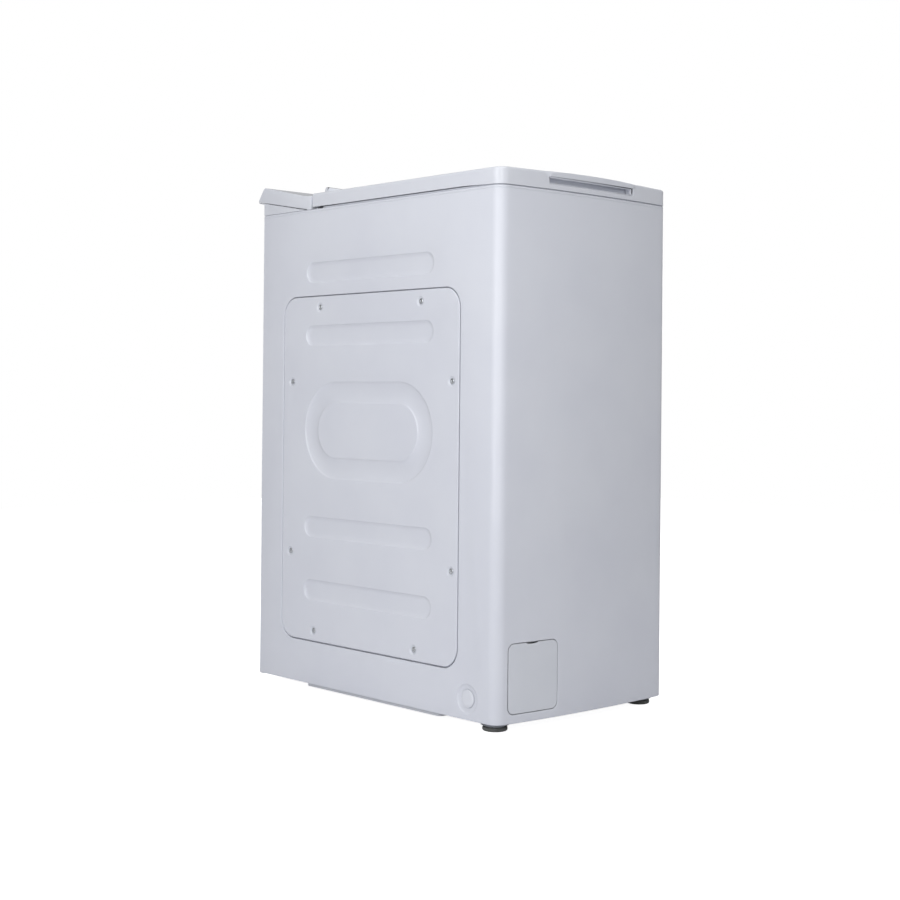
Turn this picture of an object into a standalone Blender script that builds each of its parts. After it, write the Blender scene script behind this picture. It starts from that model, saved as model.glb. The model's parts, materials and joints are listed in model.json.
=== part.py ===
"""Slim top load washing machine, as a bench assembly of its separate pieces.

Metres, +Z up, +X to the machine's right, the front faces -Y.
The origin is the middle of the footprint, at floor level.
"""
import math

import bmesh
import bpy
import numpy as np
from mathutils import Vector

# Cabinet
WIDTH = 0.400
HALF = WIDTH / 2
FRONT = -0.324          # foremost point of the bowed front
BACK = 0.306            # outer face of the rear panel
BOW = 0.010             # how far the front swells between its corners
CORNER = 0.0205         # radius of the two upright front corners
SHEET = 0.0012          # steel sheet
BOTTOM = 0.014          # lower edge of the cabinet, above the floor
TOP = 0.8494            # upper edge of the cabinet
GAP = 0.0003            # clearance between touching pieces

# Service cover on the left side, with pressed ribs
COVER_Y = (-0.2269, 0.2403)
COVER_Z = (0.0887, 0.6958)
COVER_CORNER = 0.035
COVER_SHEET = 0.0008
RIB_Y = (-0.1625, 0.1750)
RIB_HEIGHT = 0.0355
RIB_Z = (0.7372, 0.6262, 0.2905, 0.1795)
RIB_DEPTH = 0.0035
RING_Z = 0.4610         # middle of the racetrack pressing
RING_HEIGHT = 0.168
RING_WALL = 0.0365
SCREW_YZ = ((0.1370, 0.6757), (-0.1305, 0.6757), (0.2155, 0.5453), (-0.2073, 0.5453),
            (0.2165, 0.2432), (-0.2085, 0.2432), (0.1475, 0.1080), (-0.1205, 0.1080))
PLUG_YZ = (-0.2500, 0.0475)

# Filter flap, low on the front
FLAP_X = (-0.1744, -0.0717)
FLAP_Z = (0.0289, 0.1376)
FLAP_CORNER = 0.011
FLAP_SHEET = 0.0020
FLAP_PIN_Z = 0.0300
FILTER_XZ = (-0.1230, 0.0850)

# Lid and its hinge
LID_BOTTOM = 0.8509
LID_TOP = 0.8777
LID_BACK = 0.1630
LID_WALL = 0.0025
LID_EDGE = 0.0040
LID_PIN = (0.1550, 0.8700)
HANDLE_X = (-0.0980, 0.1025)
HANDLE_Z = (0.8580, 0.8695)
HANDLE_DEPTH = 0.020
BRACKET_X = 0.157
DECK_Z = (0.8455, 0.8525)

# Console
CONSOLE_FRONT = 0.1652
RIDGE = (0.3034, 0.9002)
SLOPE_FOOT = (0.1850, 0.8752)
HOOK = (0.3240, 0.8763)
KNOB_X = -0.105
KNOB_Y = 0.216
KNOB_RADIUS = 0.0225
KNOB_HEIGHT = 0.0190
BUTTON_X = (0.020, 0.052, 0.084)
BUTTON_SIZE = (0.022, 0.010)
BUTTON_Y = 0.215

# Drum, tub and drive, about a cross shaft
AXIS_Y = -0.010
AXIS_Z = 0.445
DRUM_RADIUS = 0.230
DRUM_SHEET = 0.0012
DRUM_X = (-0.125, 0.140)
TUB_RADIUS = 0.252
TUB_WALL = 0.005
TUB_X = (-0.140, 0.155)
NECK_X = (-0.118, 0.133)
NECK_Y = (-0.195, 0.135)
NECK_TOP = 0.800
DOOR_ARC = 20.6         # degrees from the top to each door's hinge
DOOR_X = (-0.0975, 0.1125)
SHAFT_RADIUS = 0.010
PULLEY_RADIUS = 0.144
PULLEY_X = (-0.184, -0.166)
MOTOR_YZ = (0.160, 0.125)
MOTOR_PULLEY_RADIUS = 0.009
MOTOR_X = (-0.085, 0.065)

# Levelling feet and glides
FOOT_XY = (0.170, -0.283)
GLIDE_XY = (0.110, 0.262)

COLOURS = {
    "white_steel": ((0.74, 0.76, 0.80), 0.35, 0.0),
    "white_plastic": ((0.76, 0.77, 0.79), 0.40, 0.0),
    "zinc_steel": ((0.55, 0.56, 0.57), 0.35, 1.0),
    "stainless": ((0.60, 0.60, 0.60), 0.25, 1.0),
    "aluminium": ((0.66, 0.67, 0.68), 0.40, 1.0),
    "grey_plastic": ((0.42, 0.44, 0.46), 0.55, 0.0),
    "dark_plastic": ((0.06, 0.065, 0.07), 0.50, 0.0),
    "rubber": ((0.10, 0.10, 0.105), 0.80, 0.0),
    "concrete": ((0.40, 0.39, 0.37), 0.95, 0.0),
    "board": ((0.05, 0.22, 0.10), 0.60, 0.0),
}


def clear_scene():
    for obj in list(bpy.data.objects):
        bpy.data.objects.remove(obj, do_unlink=True)


def make_object(name, points, faces, finish):
    """One closed mesh object with its own material, its faces turned outwards."""
    mesh = bpy.data.meshes.new(name)
    mesh.from_pydata([tuple(map(float, p)) for p in points], [], [tuple(map(int, f)) for f in faces])
    shaped = bmesh.new()
    shaped.from_mesh(mesh)
    bmesh.ops.remove_doubles(shaped, verts=shaped.verts, dist=1e-6)
    bmesh.ops.recalc_face_normals(shaped, faces=shaped.faces)
    shaped.to_mesh(mesh)
    shaped.free()
    obj = bpy.data.objects.new(name, mesh)
    bpy.context.scene.collection.objects.link(obj)
    paint(obj, finish)
    return obj


def paint(obj, finish):
    colour, roughness, metallic = COLOURS[finish]
    material = bpy.data.materials.new(f"{obj.name}_{finish}")
    material.use_nodes = True
    shader = material.node_tree.nodes["Principled BSDF"]
    shader.inputs["Base Color"].default_value = (*colour, 1.0)
    shader.inputs["Roughness"].default_value = roughness
    shader.inputs["Metallic"].default_value = metallic
    obj.data.materials.clear()
    obj.data.materials.append(material)


def smooth(obj, angle=30):
    obj.data.shade_smooth()
    obj.data.set_sharp_from_angle(angle=math.radians(angle))
    return obj


def combine(target, tools, operation):
    """Unites, cuts or intersects the target with each tool, and removes the tools."""
    for tool in tools:
        modifier = target.modifiers.new(operation.lower(), "BOOLEAN")
        modifier.operation = operation
        modifier.solver = "EXACT"
        modifier.object = tool
        graph = bpy.context.evaluated_depsgraph_get()
        result = bpy.data.meshes.new_from_object(target.evaluated_get(graph))
        target.modifiers.clear()
        target.data = result
        bpy.data.objects.remove(tool, do_unlink=True)
    return target


def cut(target, *tools):
    return combine(target, tools, "DIFFERENCE")


def join(target, *tools):
    return combine(target, tools, "UNION")


def loft(name, rings, finish, closed=False):
    """Skins a row of rings with the same number of points; the ends are capped, or joined to each other."""
    count = len(rings[0])
    points = np.concatenate([np.asarray(ring, float) for ring in rings])
    faces = []
    spans = len(rings) if closed else len(rings) - 1
    for i in range(spans):
        a, b = i * count, (i + 1) % len(rings) * count
        for k in range(count):
            n = (k + 1) % count
            faces.append((a + k, a + n, b + n, b + k))
    if not closed:
        faces.append(tuple(range(count)))
        faces.append(tuple(range(len(points) - count, len(points))))
    return make_object(name, points, faces, finish)


def prism(name, outline, low, high, axis, finish="dark_plastic"):
    """Extrudes a flat outline along an axis. The outline is (y, z), (x, z) or (x, y) for x, y or z."""
    flat = np.asarray(outline, float)
    column = "xyz".index(axis)
    rings = []
    for level in (low, high):
        ring = np.insert(flat, column, level, axis=1)
        rings.append(ring)
    return loft(name, rings, finish)


def box(name, low, high, finish="dark_plastic"):
    corners = [(low[0], low[1]), (high[0], low[1]), (high[0], high[1]), (low[0], high[1])]
    return prism(name, corners, low[2], high[2], "z", finish)


def rounded_rectangle(a, b, radius, steps=4):
    """A rectangle from a to b in two coordinates, with round corners."""
    centres = ((b[0] - radius, b[1] - radius, 0), (a[0] + radius, b[1] - radius, 90),
               (a[0] + radius, a[1] + radius, 180), (b[0] - radius, a[1] + radius, 270))
    points = []
    for u, v, start in centres:
        for angle in np.radians(np.linspace(start, start + 90, steps + 1)):
            points.append((u + radius * math.cos(angle), v + radius * math.sin(angle)))
    return points


def circle(centre, radius, steps=24):
    angles = np.linspace(0, 2 * math.pi, steps, endpoint=False)
    return [(centre[0] + radius * math.cos(a), centre[1] + radius * math.sin(a)) for a in angles]


def turned(name, profile, axis, centre, finish, steps=32, closed=False):
    """Turns (along, radius) points about an axis through centre. A closed profile makes a ring."""
    along_column = "xyz".index(axis)
    others = [i for i in range(3) if i != along_column]
    rings = []
    for along, radius in profile:
        ring = np.zeros((steps, 3))
        angles = np.linspace(0, 2 * math.pi, steps, endpoint=False)
        ring[:, others[0]] = centre[others[0]] + radius * np.cos(angles)
        ring[:, others[1]] = centre[others[1]] + radius * np.sin(angles)
        ring[:, along_column] = along
        rings.append(ring)
    return smooth(loft(name, rings, finish, closed))


def plan(inset, rear, corner_steps=7, bow_steps=10):
    """The cabinet's outline from above: left rear, round both front corners along the bow, to right rear."""
    big = (HALF ** 2 + BOW ** 2) / (2 * BOW)
    big_y = FRONT + big
    corner_x = HALF - CORNER
    corner_y = big_y - math.sqrt((big - CORNER) ** 2 - corner_x ** 2)
    meet = math.atan2(corner_y - big_y, -corner_x) % (2 * math.pi)
    mirrored = 3 * math.pi - meet
    small = CORNER - inset
    points = [(-HALF + inset, rear)]
    for a in np.linspace(math.pi, meet, corner_steps):
        points.append((-corner_x + small * math.cos(a), corner_y + small * math.sin(a)))
    for a in np.linspace(meet, mirrored, bow_steps + 1)[1:-1]:
        points.append(((big - inset) * math.cos(a), big_y + (big - inset) * math.sin(a)))
    for a in np.linspace(mirrored, 2 * math.pi, corner_steps):
        points.append((corner_x + small * math.cos(a), corner_y + small * math.sin(a)))
    points.append((HALF - inset, rear))
    return points


def front_at(x):
    """Y of the bowed front at x."""
    big = (HALF ** 2 + BOW ** 2) / (2 * BOW)
    return FRONT + big - math.sqrt(big ** 2 - x ** 2)


def at_level(points, z):
    return np.column_stack([np.asarray(points, float), np.full(len(points), z)])


def stadium_rib(z, inset, x_low, x_high):
    radius = RIB_HEIGHT / 2 - inset
    outline = rounded_rectangle((RIB_Y[0] + inset, z - radius), (RIB_Y[1] - inset, z + radius), radius - 1e-5)
    return prism("rib", outline, x_low, x_high, "x")


def racetrack(inset, x_low, x_high):
    radius = RING_HEIGHT / 2 - inset
    outline = rounded_rectangle((RIB_Y[0] + inset, RING_Z - radius), (RIB_Y[1] - inset, RING_Z + radius),
                                radius - 1e-5, 6)
    return prism("racetrack", outline, x_low, x_high, "x")


def service_outline(grow):
    return rounded_rectangle((COVER_Y[0] - grow, COVER_Z[0] - grow), (COVER_Y[1] + grow, COVER_Z[1] + grow),
                             COVER_CORNER + grow)


def flap_outline(grow):
    return rounded_rectangle((FLAP_X[0] - grow, FLAP_Z[0] - grow), (FLAP_X[1] + grow, FLAP_Z[1] + grow),
                             FLAP_CORNER + grow, 4)


# ---- cabinet ----

FLANGE_FACE = -HALF + COVER_SHEET + GAP     # the seat that the service cover lies on
FLANGE_BACK = -HALF + 0.005


def make_cabinet_wrap():
    rear = BACK - SHEET - GAP
    lip = HALF - 0.018
    outer = [(-lip, rear)] + plan(0, rear) + [(lip, rear)]
    inner = [(-lip, rear - SHEET)] + plan(SHEET, rear - SHEET) + [(lip, rear - SHEET)]
    wrap = prism("cabinet_wrap", outer + inner[::-1], BOTTOM, TOP, "z", "white_steel")
    hold = 0.0002
    join(wrap,
         prism("seat", service_outline(0.012), -HALF + SHEET - hold, FLANGE_BACK, "x"),
         stadium_rib(RIB_Z[0], -0.0015, -HALF + SHEET - hold, -HALF + RIB_DEPTH + SHEET),
         prism("dish", circle(PLUG_YZ, 0.0250), -HALF + SHEET - hold, -HALF + 0.0035, "x"))
    cut(wrap,
        prism("step", service_outline(0.0008), -HALF - 0.01, FLANGE_FACE, "x"),
        prism("window", service_outline(-0.022), -HALF - 0.01, FLANGE_BACK + 0.01, "x"),
        stadium_rib(RIB_Z[0], 0, -HALF - 0.01, -HALF + RIB_DEPTH),
        prism("dish", circle(PLUG_YZ, 0.0230), -HALF - 0.01, -HALF + 0.0020, "x"),
        prism("hole", circle(PLUG_YZ, 0.0115), -HALF - 0.01, -HALF + 0.01, "x"),
        prism("flap_opening", flap_outline(0.0009), FRONT - 0.01, FRONT + 0.03, "y"))
    for y, z in SCREW_YZ:
        cut(wrap,
            prism("dimple", circle((y, z), 0.0084, 10), -HALF - 0.01, -HALF + 0.0031, "x"),
            prism("thread", circle((y, z), 0.0021, 8), -HALF - 0.01, -HALF + 0.01, "x"))
    return paint_again(wrap, "white_steel")


def paint_again(obj, finish):
    paint(obj, finish)
    return smooth(obj)


def make_service_cover():
    cover = prism("service_cover", service_outline(0), -HALF, -HALF + COVER_SHEET, "x", "white_steel")
    back = -HALF + RIB_DEPTH + SHEET
    hold = -HALF + COVER_SHEET - 0.0002
    for z in RIB_Z[1:]:
        join(cover, stadium_rib(z, -0.0010, hold, back))
    join(cover, racetrack(-0.0010, hold, back))
    for y, z in SCREW_YZ:
        join(cover, prism("dimple", circle((y, z), 0.0080, 10), hold, -HALF + 0.0028, "x"))
    for z in RIB_Z[1:]:
        cut(cover, stadium_rib(z, 0.0002, -HALF - 0.01, -HALF + RIB_DEPTH))
    groove = cut(racetrack(0.0002, -HALF - 0.01, -HALF + RIB_DEPTH),
                 racetrack(RING_WALL, -HALF - 0.02, -HALF + 0.02))
    cut(cover, groove)
    for y, z in SCREW_YZ:
        cut(cover,
            prism("dimple", circle((y, z), 0.0066, 10), -HALF - 0.01, -HALF + 0.0018, "x"),
            prism("hole", circle((y, z), 0.0021, 8), -HALF - 0.01, -HALF + 0.01, "x"))
    return paint_again(cover, "white_steel")


def make_cover_screws():
    """Pan head screws, sunk in the cover's dimples."""
    seat = -HALF + 0.0018 - GAP
    for number, (y, z) in enumerate(SCREW_YZ, 1):
        profile = ((-HALF + 0.0002, 0.0030), (-HALF + 0.0009, 0.0045), (seat, 0.0045), (seat, 0.0017),
                   (-HALF + 0.0120, 0.0017))
        turned(f"service_cover_screw_{number}", profile, "x", (0, y, z), "zinc_steel", 8)


def make_side_plug():
    profile = ((-HALF + 0.0003, 0.0105), (-HALF + 0.0006, 0.0132), (-HALF + 0.0016, 0.0143),
               (-HALF + 0.0020 - GAP, 0.0143), (-HALF + 0.0020 - GAP, 0.0112), (-HALF + 0.0090, 0.0108),
               (-HALF + 0.0100, 0.0095))
    turned("side_plug", profile, "x", (0, *PLUG_YZ), "white_plastic", 24)


def make_rear_panel():
    edge = 0.0008
    panel = box("rear_panel", (-HALF + edge, BACK - SHEET, BOTTOM), (HALF - edge, BACK, TOP - 0.001), "white_steel")
    cut(panel,
        prism("inlet", circle((-0.120, 0.790), 0.0150), BACK - 0.02, BACK + 0.02, "y"),
        prism("drain", circle((0.130, 0.760), 0.0170), BACK - 0.02, BACK + 0.02, "y"),
        prism("mains", circle((0.150, 0.690), 0.0100, 16), BACK - 0.02, BACK + 0.02, "y"))
    paint_again(panel, "white_steel")


def make_base_pan():
    """Moulded floor of the machine, with a sill that shows under the sides and a boss for each foot."""
    reach = 0.196
    pan = box("base_pan", (-reach, -0.300, 0.0200), (reach, 0.290, 0.0240), "grey_plastic")
    join(pan, prism("sill", rounded_rectangle((-reach, -0.1820), (reach, 0.1700), 0.008, 4), 0.0086, 0.0205, "z"))
    for side in (-1, 1):
        x, y = side * FOOT_XY[0], FOOT_XY[1]
        join(pan, prism("boss", circle((x, y), 0.0140, 16), 0.0195, 0.0420, "z"))
        cut(pan, prism("thread", circle((x, y), 0.0053, 16), 0.0, 0.0600, "z"))
    cut(pan, prism("well", rounded_rectangle((-0.150, -0.150), (0.150, 0.140), 0.02, 4), 0.0, 0.05, "z"))
    paint_again(pan, "grey_plastic")


def make_feet():
    for side, word in ((-1, "left"), (1, "right")):
        centre = (side * FOOT_XY[0], FOOT_XY[1], 0)
        profile = ((0.0000, 0.0190), (0.0010, 0.0200), (0.0065, 0.0200), (0.0070, 0.0160), (0.0092, 0.0160),
                   (0.0092, 0.0225), (0.0115, 0.0225), (0.0118, 0.0110), (0.0150, 0.0110), (0.0150, 0.0050),
                   (0.0408, 0.0050))
        turned(f"front_foot_{word}", profile, "z", centre, "rubber", 16)
        centre = (side * GLIDE_XY[0], GLIDE_XY[1], 0)
        profile = ((0.0, 0.016), (0.002, 0.018), (0.0197, 0.018))
        turned(f"rear_glide_{word}", profile, "z", centre, "rubber", 20)


# ---- top: deck, lid, console ----

def make_top_frame():
    """Deck round the loading opening, flush inside the lid's skirt, with a lower step under the lid's hinge."""
    step_y, step_z = 0.1335, 0.8488
    outline = plan(0.0032, 0.162)
    frame = loft("top_frame", [at_level(outline, DECK_Z[0]), at_level(outline, DECK_Z[1])], "white_plastic")
    cut(frame,
        prism("opening", rounded_rectangle((NECK_X[0], NECK_Y[0]), (NECK_X[1], NECK_Y[1]), 0.035), 0.8, 0.9, "z"),
        box("tray_hole", (-0.1303, -0.2923, 0.8), (0.1303, -0.2117, 0.9)),
        box("lid_sweep", (-HALF, step_y, step_z), (HALF, 0.2, 0.9)))
    paint_again(frame, "white_plastic")
    for side, word in ((-1, "left"), (1, "right")):
        x = side * BRACKET_X
        y, z = LID_PIN
        bracket = box(f"lid_hinge_bracket_{word}", (x - 0.003, y - 0.0036, step_z + GAP), (x + 0.003, y + 0.0036, z))
        join(bracket, prism("eye", circle((y, z), 0.00355, 16), x - 0.0031, x + 0.0031, "x"))
        cut(bracket, prism("hole", circle((y, z), 0.0019, 12), x - 0.01, x + 0.01, "x"))
        paint_again(bracket, "zinc_steel")


def make_gasket():
    """Rubber bellows between the tub's neck and the deck."""
    levels = ((NECK_TOP + GAP, 0.0), (0.812, 0.0), (0.821, 0.006), (0.830, 0.0), (DECK_Z[0] - GAP, 0.0))
    rings = []
    for wall, order in ((0.0, 1), (0.003, -1)):
        for z, swell in levels[::order]:
            grow = swell + wall
            outline = rounded_rectangle((NECK_X[0] - grow, NECK_Y[0] - grow), (NECK_X[1] + grow, NECK_Y[1] + grow),
                                        0.035 + grow, 4)
            rings.append(at_level(outline, z))
    smooth(loft("door_gasket", rings, "rubber", closed=True))


def make_detergent_tray():
    low, high = (-0.130, -0.292, 0.795), (0.130, -0.212, 0.8490)
    tray = box("detergent_tray", low, high, "white_plastic")
    wall = 0.002
    for x0, x1 in ((low[0], -0.045), (-0.045, 0.045), (0.045, high[0])):
        left = x0 + (wall if x0 == low[0] else wall / 2)
        right = x1 - (wall if x1 == high[0] else wall / 2)
        cut(tray, box("cell", (left, low[1] + wall, low[2] + wall), (right, high[1] - wall, high[2] + 0.01)))
    paint_again(tray, "white_plastic")


def make_lid():
    """Lid cover: a crowned shell with a finger recess in its front and two pivot pins moulded inside."""
    curve = [(0.0, LID_BOTTOM), (0.0, LID_TOP - LID_EDGE)]
    for a in np.radians((30, 60, 90)):
        curve.append((LID_EDGE * (1 - math.cos(a)), LID_TOP - LID_EDGE * (1 - math.sin(a))))
    ceiling = LID_TOP - LID_WALL
    rings = [at_level(plan(LID_WALL, LID_BACK - LID_WALL), ceiling),
             at_level(plan(LID_WALL, LID_BACK - LID_WALL), LID_BOTTOM)]
    rings += [at_level(plan(inset, LID_BACK - inset), z) for inset, z in curve]
    lid = loft("lid_cover", rings, "white_plastic")
    y, z = LID_PIN
    recess_back = FRONT + HANDLE_DEPTH
    join(lid, box("pocket", (HANDLE_X[0] - 0.003, FRONT + 0.0015, HANDLE_Z[0] - 0.003),
                  (HANDLE_X[1] + 0.003, recess_back + 0.003, ceiling + 0.001)))
    cut(lid, prism("fingers", rounded_rectangle((HANDLE_X[0], HANDLE_Z[0]), (HANDLE_X[1], HANDLE_Z[1]), 0.003, 3),
                   FRONT - 0.01, recess_back, "y"))
    for side in (-1, 1):
        x = side * BRACKET_X
        join(lid,
             box("ear", (x - 0.0075, y - 0.003, z - 0.003), (x - 0.0035, y + 0.003, ceiling + 0.001)),
             box("ear", (x + 0.0035, y - 0.003, z - 0.003), (x + 0.0075, y + 0.003, ceiling + 0.001)),
             prism("pin", circle((y, z), 0.0016, 12), x - 0.0060, x + 0.0060, "x"))
        cut(lid,
            box("bracket_slot", (x - 0.0034, LID_BACK - 0.004, LID_BOTTOM - 0.01),
                (x + 0.0034, LID_BACK + 0.01, z + 0.0051)),
            box("side_relief", (x - 0.1 if side < 0 else HALF - 0.006, FRONT + 0.039, LID_BOTTOM - 0.01),
                (-HALF + 0.006 if side < 0 else x + 0.1, LID_BACK + 0.01, LID_BOTTOM + 0.0025)))
    paint_again(lid, "white_plastic")
    liner = loft("lid_inner", [at_level(plan(0.0060, 0.138), 0.8560), at_level(plan(0.0060, 0.138), 0.8580)],
                 "white_plastic")
    cut(liner, box("handle_relief", (-HALF, FRONT - 0.01, 0.84), (HALF, recess_back + 0.004, 0.87)))
    join(liner, box("striker", (0.156, -0.284, 0.8530), (0.166, -0.280, 0.8570)))
    paint_again(liner, "white_plastic")


def console_profiles():
    """Side views (y, z) of the console's two mouldings, lower and upper, and of the space inside them."""
    foot = TOP + GAP
    tip = (HOOK[0], HOOK[1] - 0.0006)
    lower = [(0.1760, foot), (BACK - 0.0002, foot), (BACK - 0.0002, 0.8697), (0.3208, 0.8731), tip,
             (0.1790, 0.8507 - 0.0002)]
    upper = [(CONSOLE_FRONT, foot), (0.1748, foot), (0.1790, 0.8507 + GAP), (HOOK[0], HOOK[1]),
             (0.3222, 0.8800), (0.3090, 0.8974), (0.3066, 0.8995), RIDGE, SLOPE_FOOT,
             (0.1765, 0.8743), (CONSOLE_FRONT + 0.0020, 0.8741), (CONSOLE_FRONT, 0.8725)]
    wall = 0.0025
    inside = [(CONSOLE_FRONT + wall, 0.84), (BACK - wall - 0.0002, 0.84), (BACK - wall - 0.0002, 0.8960),
              (RIDGE[0] - wall, RIDGE[1] - wall - 0.0006), (SLOPE_FOOT[0], SLOPE_FOOT[1] - wall - 0.0002),
              (CONSOLE_FRONT + wall, 0.8741 - wall)]
    return lower, upper, inside


SLOPE_ANGLE = math.atan2(RIDGE[1] - SLOPE_FOOT[1], RIDGE[0] - SLOPE_FOOT[0])
SLOPE_NORMAL = Vector((0, -math.sin(SLOPE_ANGLE), math.cos(SLOPE_ANGLE)))


def on_slope(x, y):
    return Vector((x, y, SLOPE_FOOT[1] + (y - SLOPE_FOOT[0]) * math.tan(SLOPE_ANGLE)))


def tilt(obj, centre):
    """Leans a shape that was made about the origin, +Z up, onto the console's slope."""
    turn = Vector((0, 0, 1)).rotation_difference(SLOPE_NORMAL).to_matrix().to_4x4()
    turn.translation = centre
    obj.data.transform(turn)
    return obj


def make_console():
    lower, upper, inside = console_profiles()
    wall = 0.0025
    base = prism("console_base", lower, -HALF, HALF, "x", "white_plastic")
    cut(base, prism("space", inside, -HALF + wall, HALF - wall, "x"))
    paint_again(base, "white_plastic")
    cover = prism("console_cover", upper, -HALF, HALF, "x", "white_plastic")
    cut(cover, prism("space", inside, -HALF + wall, HALF - wall, "x"))
    cut(cover, tilt(prism("knob_hole", circle((0, 0), 0.0050, 16), -0.01, 0.01, "z"), on_slope(KNOB_X, KNOB_Y)))
    half_x, half_y = BUTTON_SIZE[0] / 2 + 0.0004, BUTTON_SIZE[1] / 2 + 0.0004
    for x in BUTTON_X:
        outline = rounded_rectangle((-half_x, -half_y), (half_x, half_y), 0.003, 3)
        cut(cover, tilt(prism("button_hole", outline, -0.01, 0.01, "z"), on_slope(x, BUTTON_Y)))
    paint_again(cover, "white_plastic")
    box("control_board", (-0.150, 0.200, 0.8570), (0.150, 0.290, 0.8586), "board")


def make_controls():
    centre = on_slope(KNOB_X, KNOB_Y)
    profile = ((-0.0120, 0.0040), (0.0008, 0.0040), (0.0008, KNOB_RADIUS), (0.0030, KNOB_RADIUS),
               (KNOB_HEIGHT - 0.0020, KNOB_RADIUS - 0.0015), (KNOB_HEIGHT, KNOB_RADIUS - 0.0035))
    knob = turned("knob", profile, "z", (0, 0, 0), "white_plastic", 32)
    pointer = box("pointer", (-KNOB_RADIUS - 0.01, -0.0011, 0.004), (-KNOB_RADIUS + 0.0070, 0.0011, 0.03))
    cut(knob, pointer)
    paint_again(knob, "white_plastic")
    place_moving(tilt(knob, centre), centre)
    half_x, half_y = BUTTON_SIZE[0] / 2, BUTTON_SIZE[1] / 2
    for number, x in enumerate(BUTTON_X, 1):
        outline = rounded_rectangle((-half_x, -half_y), (half_x, half_y), 0.0028, 3)
        button = prism(f"button_{number}", outline, -0.0060, 0.0030, "z", "white_plastic")
        centre = on_slope(x, BUTTON_Y)
        place_moving(tilt(button, centre), centre)


def place_moving(obj, pivot):
    """Puts an object's origin on its joint without moving its mesh."""
    shift = Vector(pivot)
    for vertex in obj.data.vertices:
        vertex.co -= shift
    obj.location = shift


# ---- tub ----

def make_tub():
    steps = 36
    centre = (0, AXIS_Y, AXIS_Z)
    shell = turned("tub_shell", ((TUB_X[0], TUB_RADIUS), (TUB_X[1], TUB_RADIUS)), "x", centre, "grey_plastic", steps)
    wall = 0.003
    neck = rounded_rectangle((NECK_X[0] - wall, NECK_Y[0] - wall), (NECK_X[1] + wall, NECK_Y[1] + wall), 0.038, 4)
    hole = rounded_rectangle((NECK_X[0], NECK_Y[0]), (NECK_X[1], NECK_Y[1]), 0.035, 4)
    join(shell, prism("neck", neck, AXIS_Z + 0.05, NECK_TOP, "z"))
    inner = TUB_RADIUS - TUB_WALL
    cut(shell,
        turned("bore", ((TUB_X[0] - 0.01, inner), (TUB_X[1] + 0.01, inner)), "x", centre, "grey_plastic", steps),
        prism("mouth", hole, AXIS_Z + 0.06, NECK_TOP + 0.01, "z"))
    paint_again(shell, "grey_plastic")
    plate = 0.004
    for side, word, face in ((-1, "left", TUB_X[0]), (1, "right", TUB_X[1])):
        near = face - side * plate
        housing = face + side * 0.010
        profile = ((near, inner - GAP), (face, inner - GAP), (face, 0.060), (housing, 0.040), (housing, 0.0265),
                   (face - side * 0.002, 0.0265), (face - side * 0.002, 0.0140), (near, 0.0140))
        turned(f"tub_end_{word}", profile, "x", centre, "grey_plastic", steps, closed=True)
        ring = ((face - side * 0.0015, 0.0262), (housing - side * 0.0005, 0.0262), (housing - side * 0.0005, 0.0103),
                (face - side * 0.0015, 0.0103))
        turned(f"bearing_{word}", ring, "x", centre, "zinc_steel", 20, closed=True)


def make_tub_fittings():
    """Balance weight, suspension, damper, pump and water fittings."""
    reach = TUB_RADIUS + GAP + 0.0006
    arc = np.radians(np.linspace(150, 210, 13))
    outline = [(AXIS_Y + reach * math.cos(a), AXIS_Z + reach * math.sin(a)) for a in arc]
    front = -0.304
    outline += [(front, outline[-1][1]), (front, outline[0][1])]
    prism("counterweight", outline, -0.110, 0.125, "x", "concrete")
    for word, x, y in (("left", -0.162, -0.225), ("right", 0.178, 0.200)):
        make_spring(f"suspension_spring_{word}", x, y, 0.600, 0.760)
    for word, x, y in (("front", 0.050, -0.200), ("rear", 0.115, 0.180)):
        lift = AXIS_Z - math.sqrt(TUB_RADIUS ** 2 - (y - AXIS_Y) ** 2)
        profile = ((0.0243, 0.0130), (0.150, 0.0130), (0.150, 0.0060), (lift - 0.008, 0.0060))
        turned(f"damper_{word}", profile, "z", (x, y, 0), "dark_plastic", 12)
    x, z = FILTER_XZ
    pump = turned("drain_pump", ((-0.272, 0.0300), (-0.180, 0.0300), (-0.180, 0.0380), (-0.140, 0.0380)), "y",
                  (x, 0, z), "grey_plastic", 20)
    cut(pump, turned("filter_well", ((-0.300, 0.0265), (-0.200, 0.0265)), "y", (x, 0, z), "grey_plastic", 20))
    paint_again(pump, "grey_plastic")
    valve = turned("inlet_valve", ((0.262, 0.0110), (0.2640, 0.0132), (0.3180, 0.0132), (0.3195, 0.0120)), "y",
                   (-0.120, 0, 0.790), "white_plastic", 20)
    join(valve, box("valve_block", (-0.140, 0.220, 0.770), (-0.100, 0.265, 0.815)))
    cut(valve, turned("inlet_bore", ((0.285, 0.0085), (0.330, 0.0085)), "y", (-0.120, 0, 0.790), "white_plastic", 16))
    paint_again(valve, "white_plastic")
    ring = ((0.285, 0.0165), (0.3035, 0.0165), (0.3220, 0.0105), (0.3220, 0.0080), (0.3030, 0.0095), (0.285, 0.0095))
    turned("drain_outlet", ring, "y", (0.130, 0, 0.760), "dark_plastic", 20, closed=True)
    ring = ((0.3000, 0.0096), (0.3063, 0.0096), (0.3063, 0.0130), (0.3110, 0.0110), (0.3110, 0.0045), (0.3000, 0.0045))
    turned("mains_gland", ring, "y", (0.150, 0, 0.690), "dark_plastic", 16, closed=True)


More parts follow.
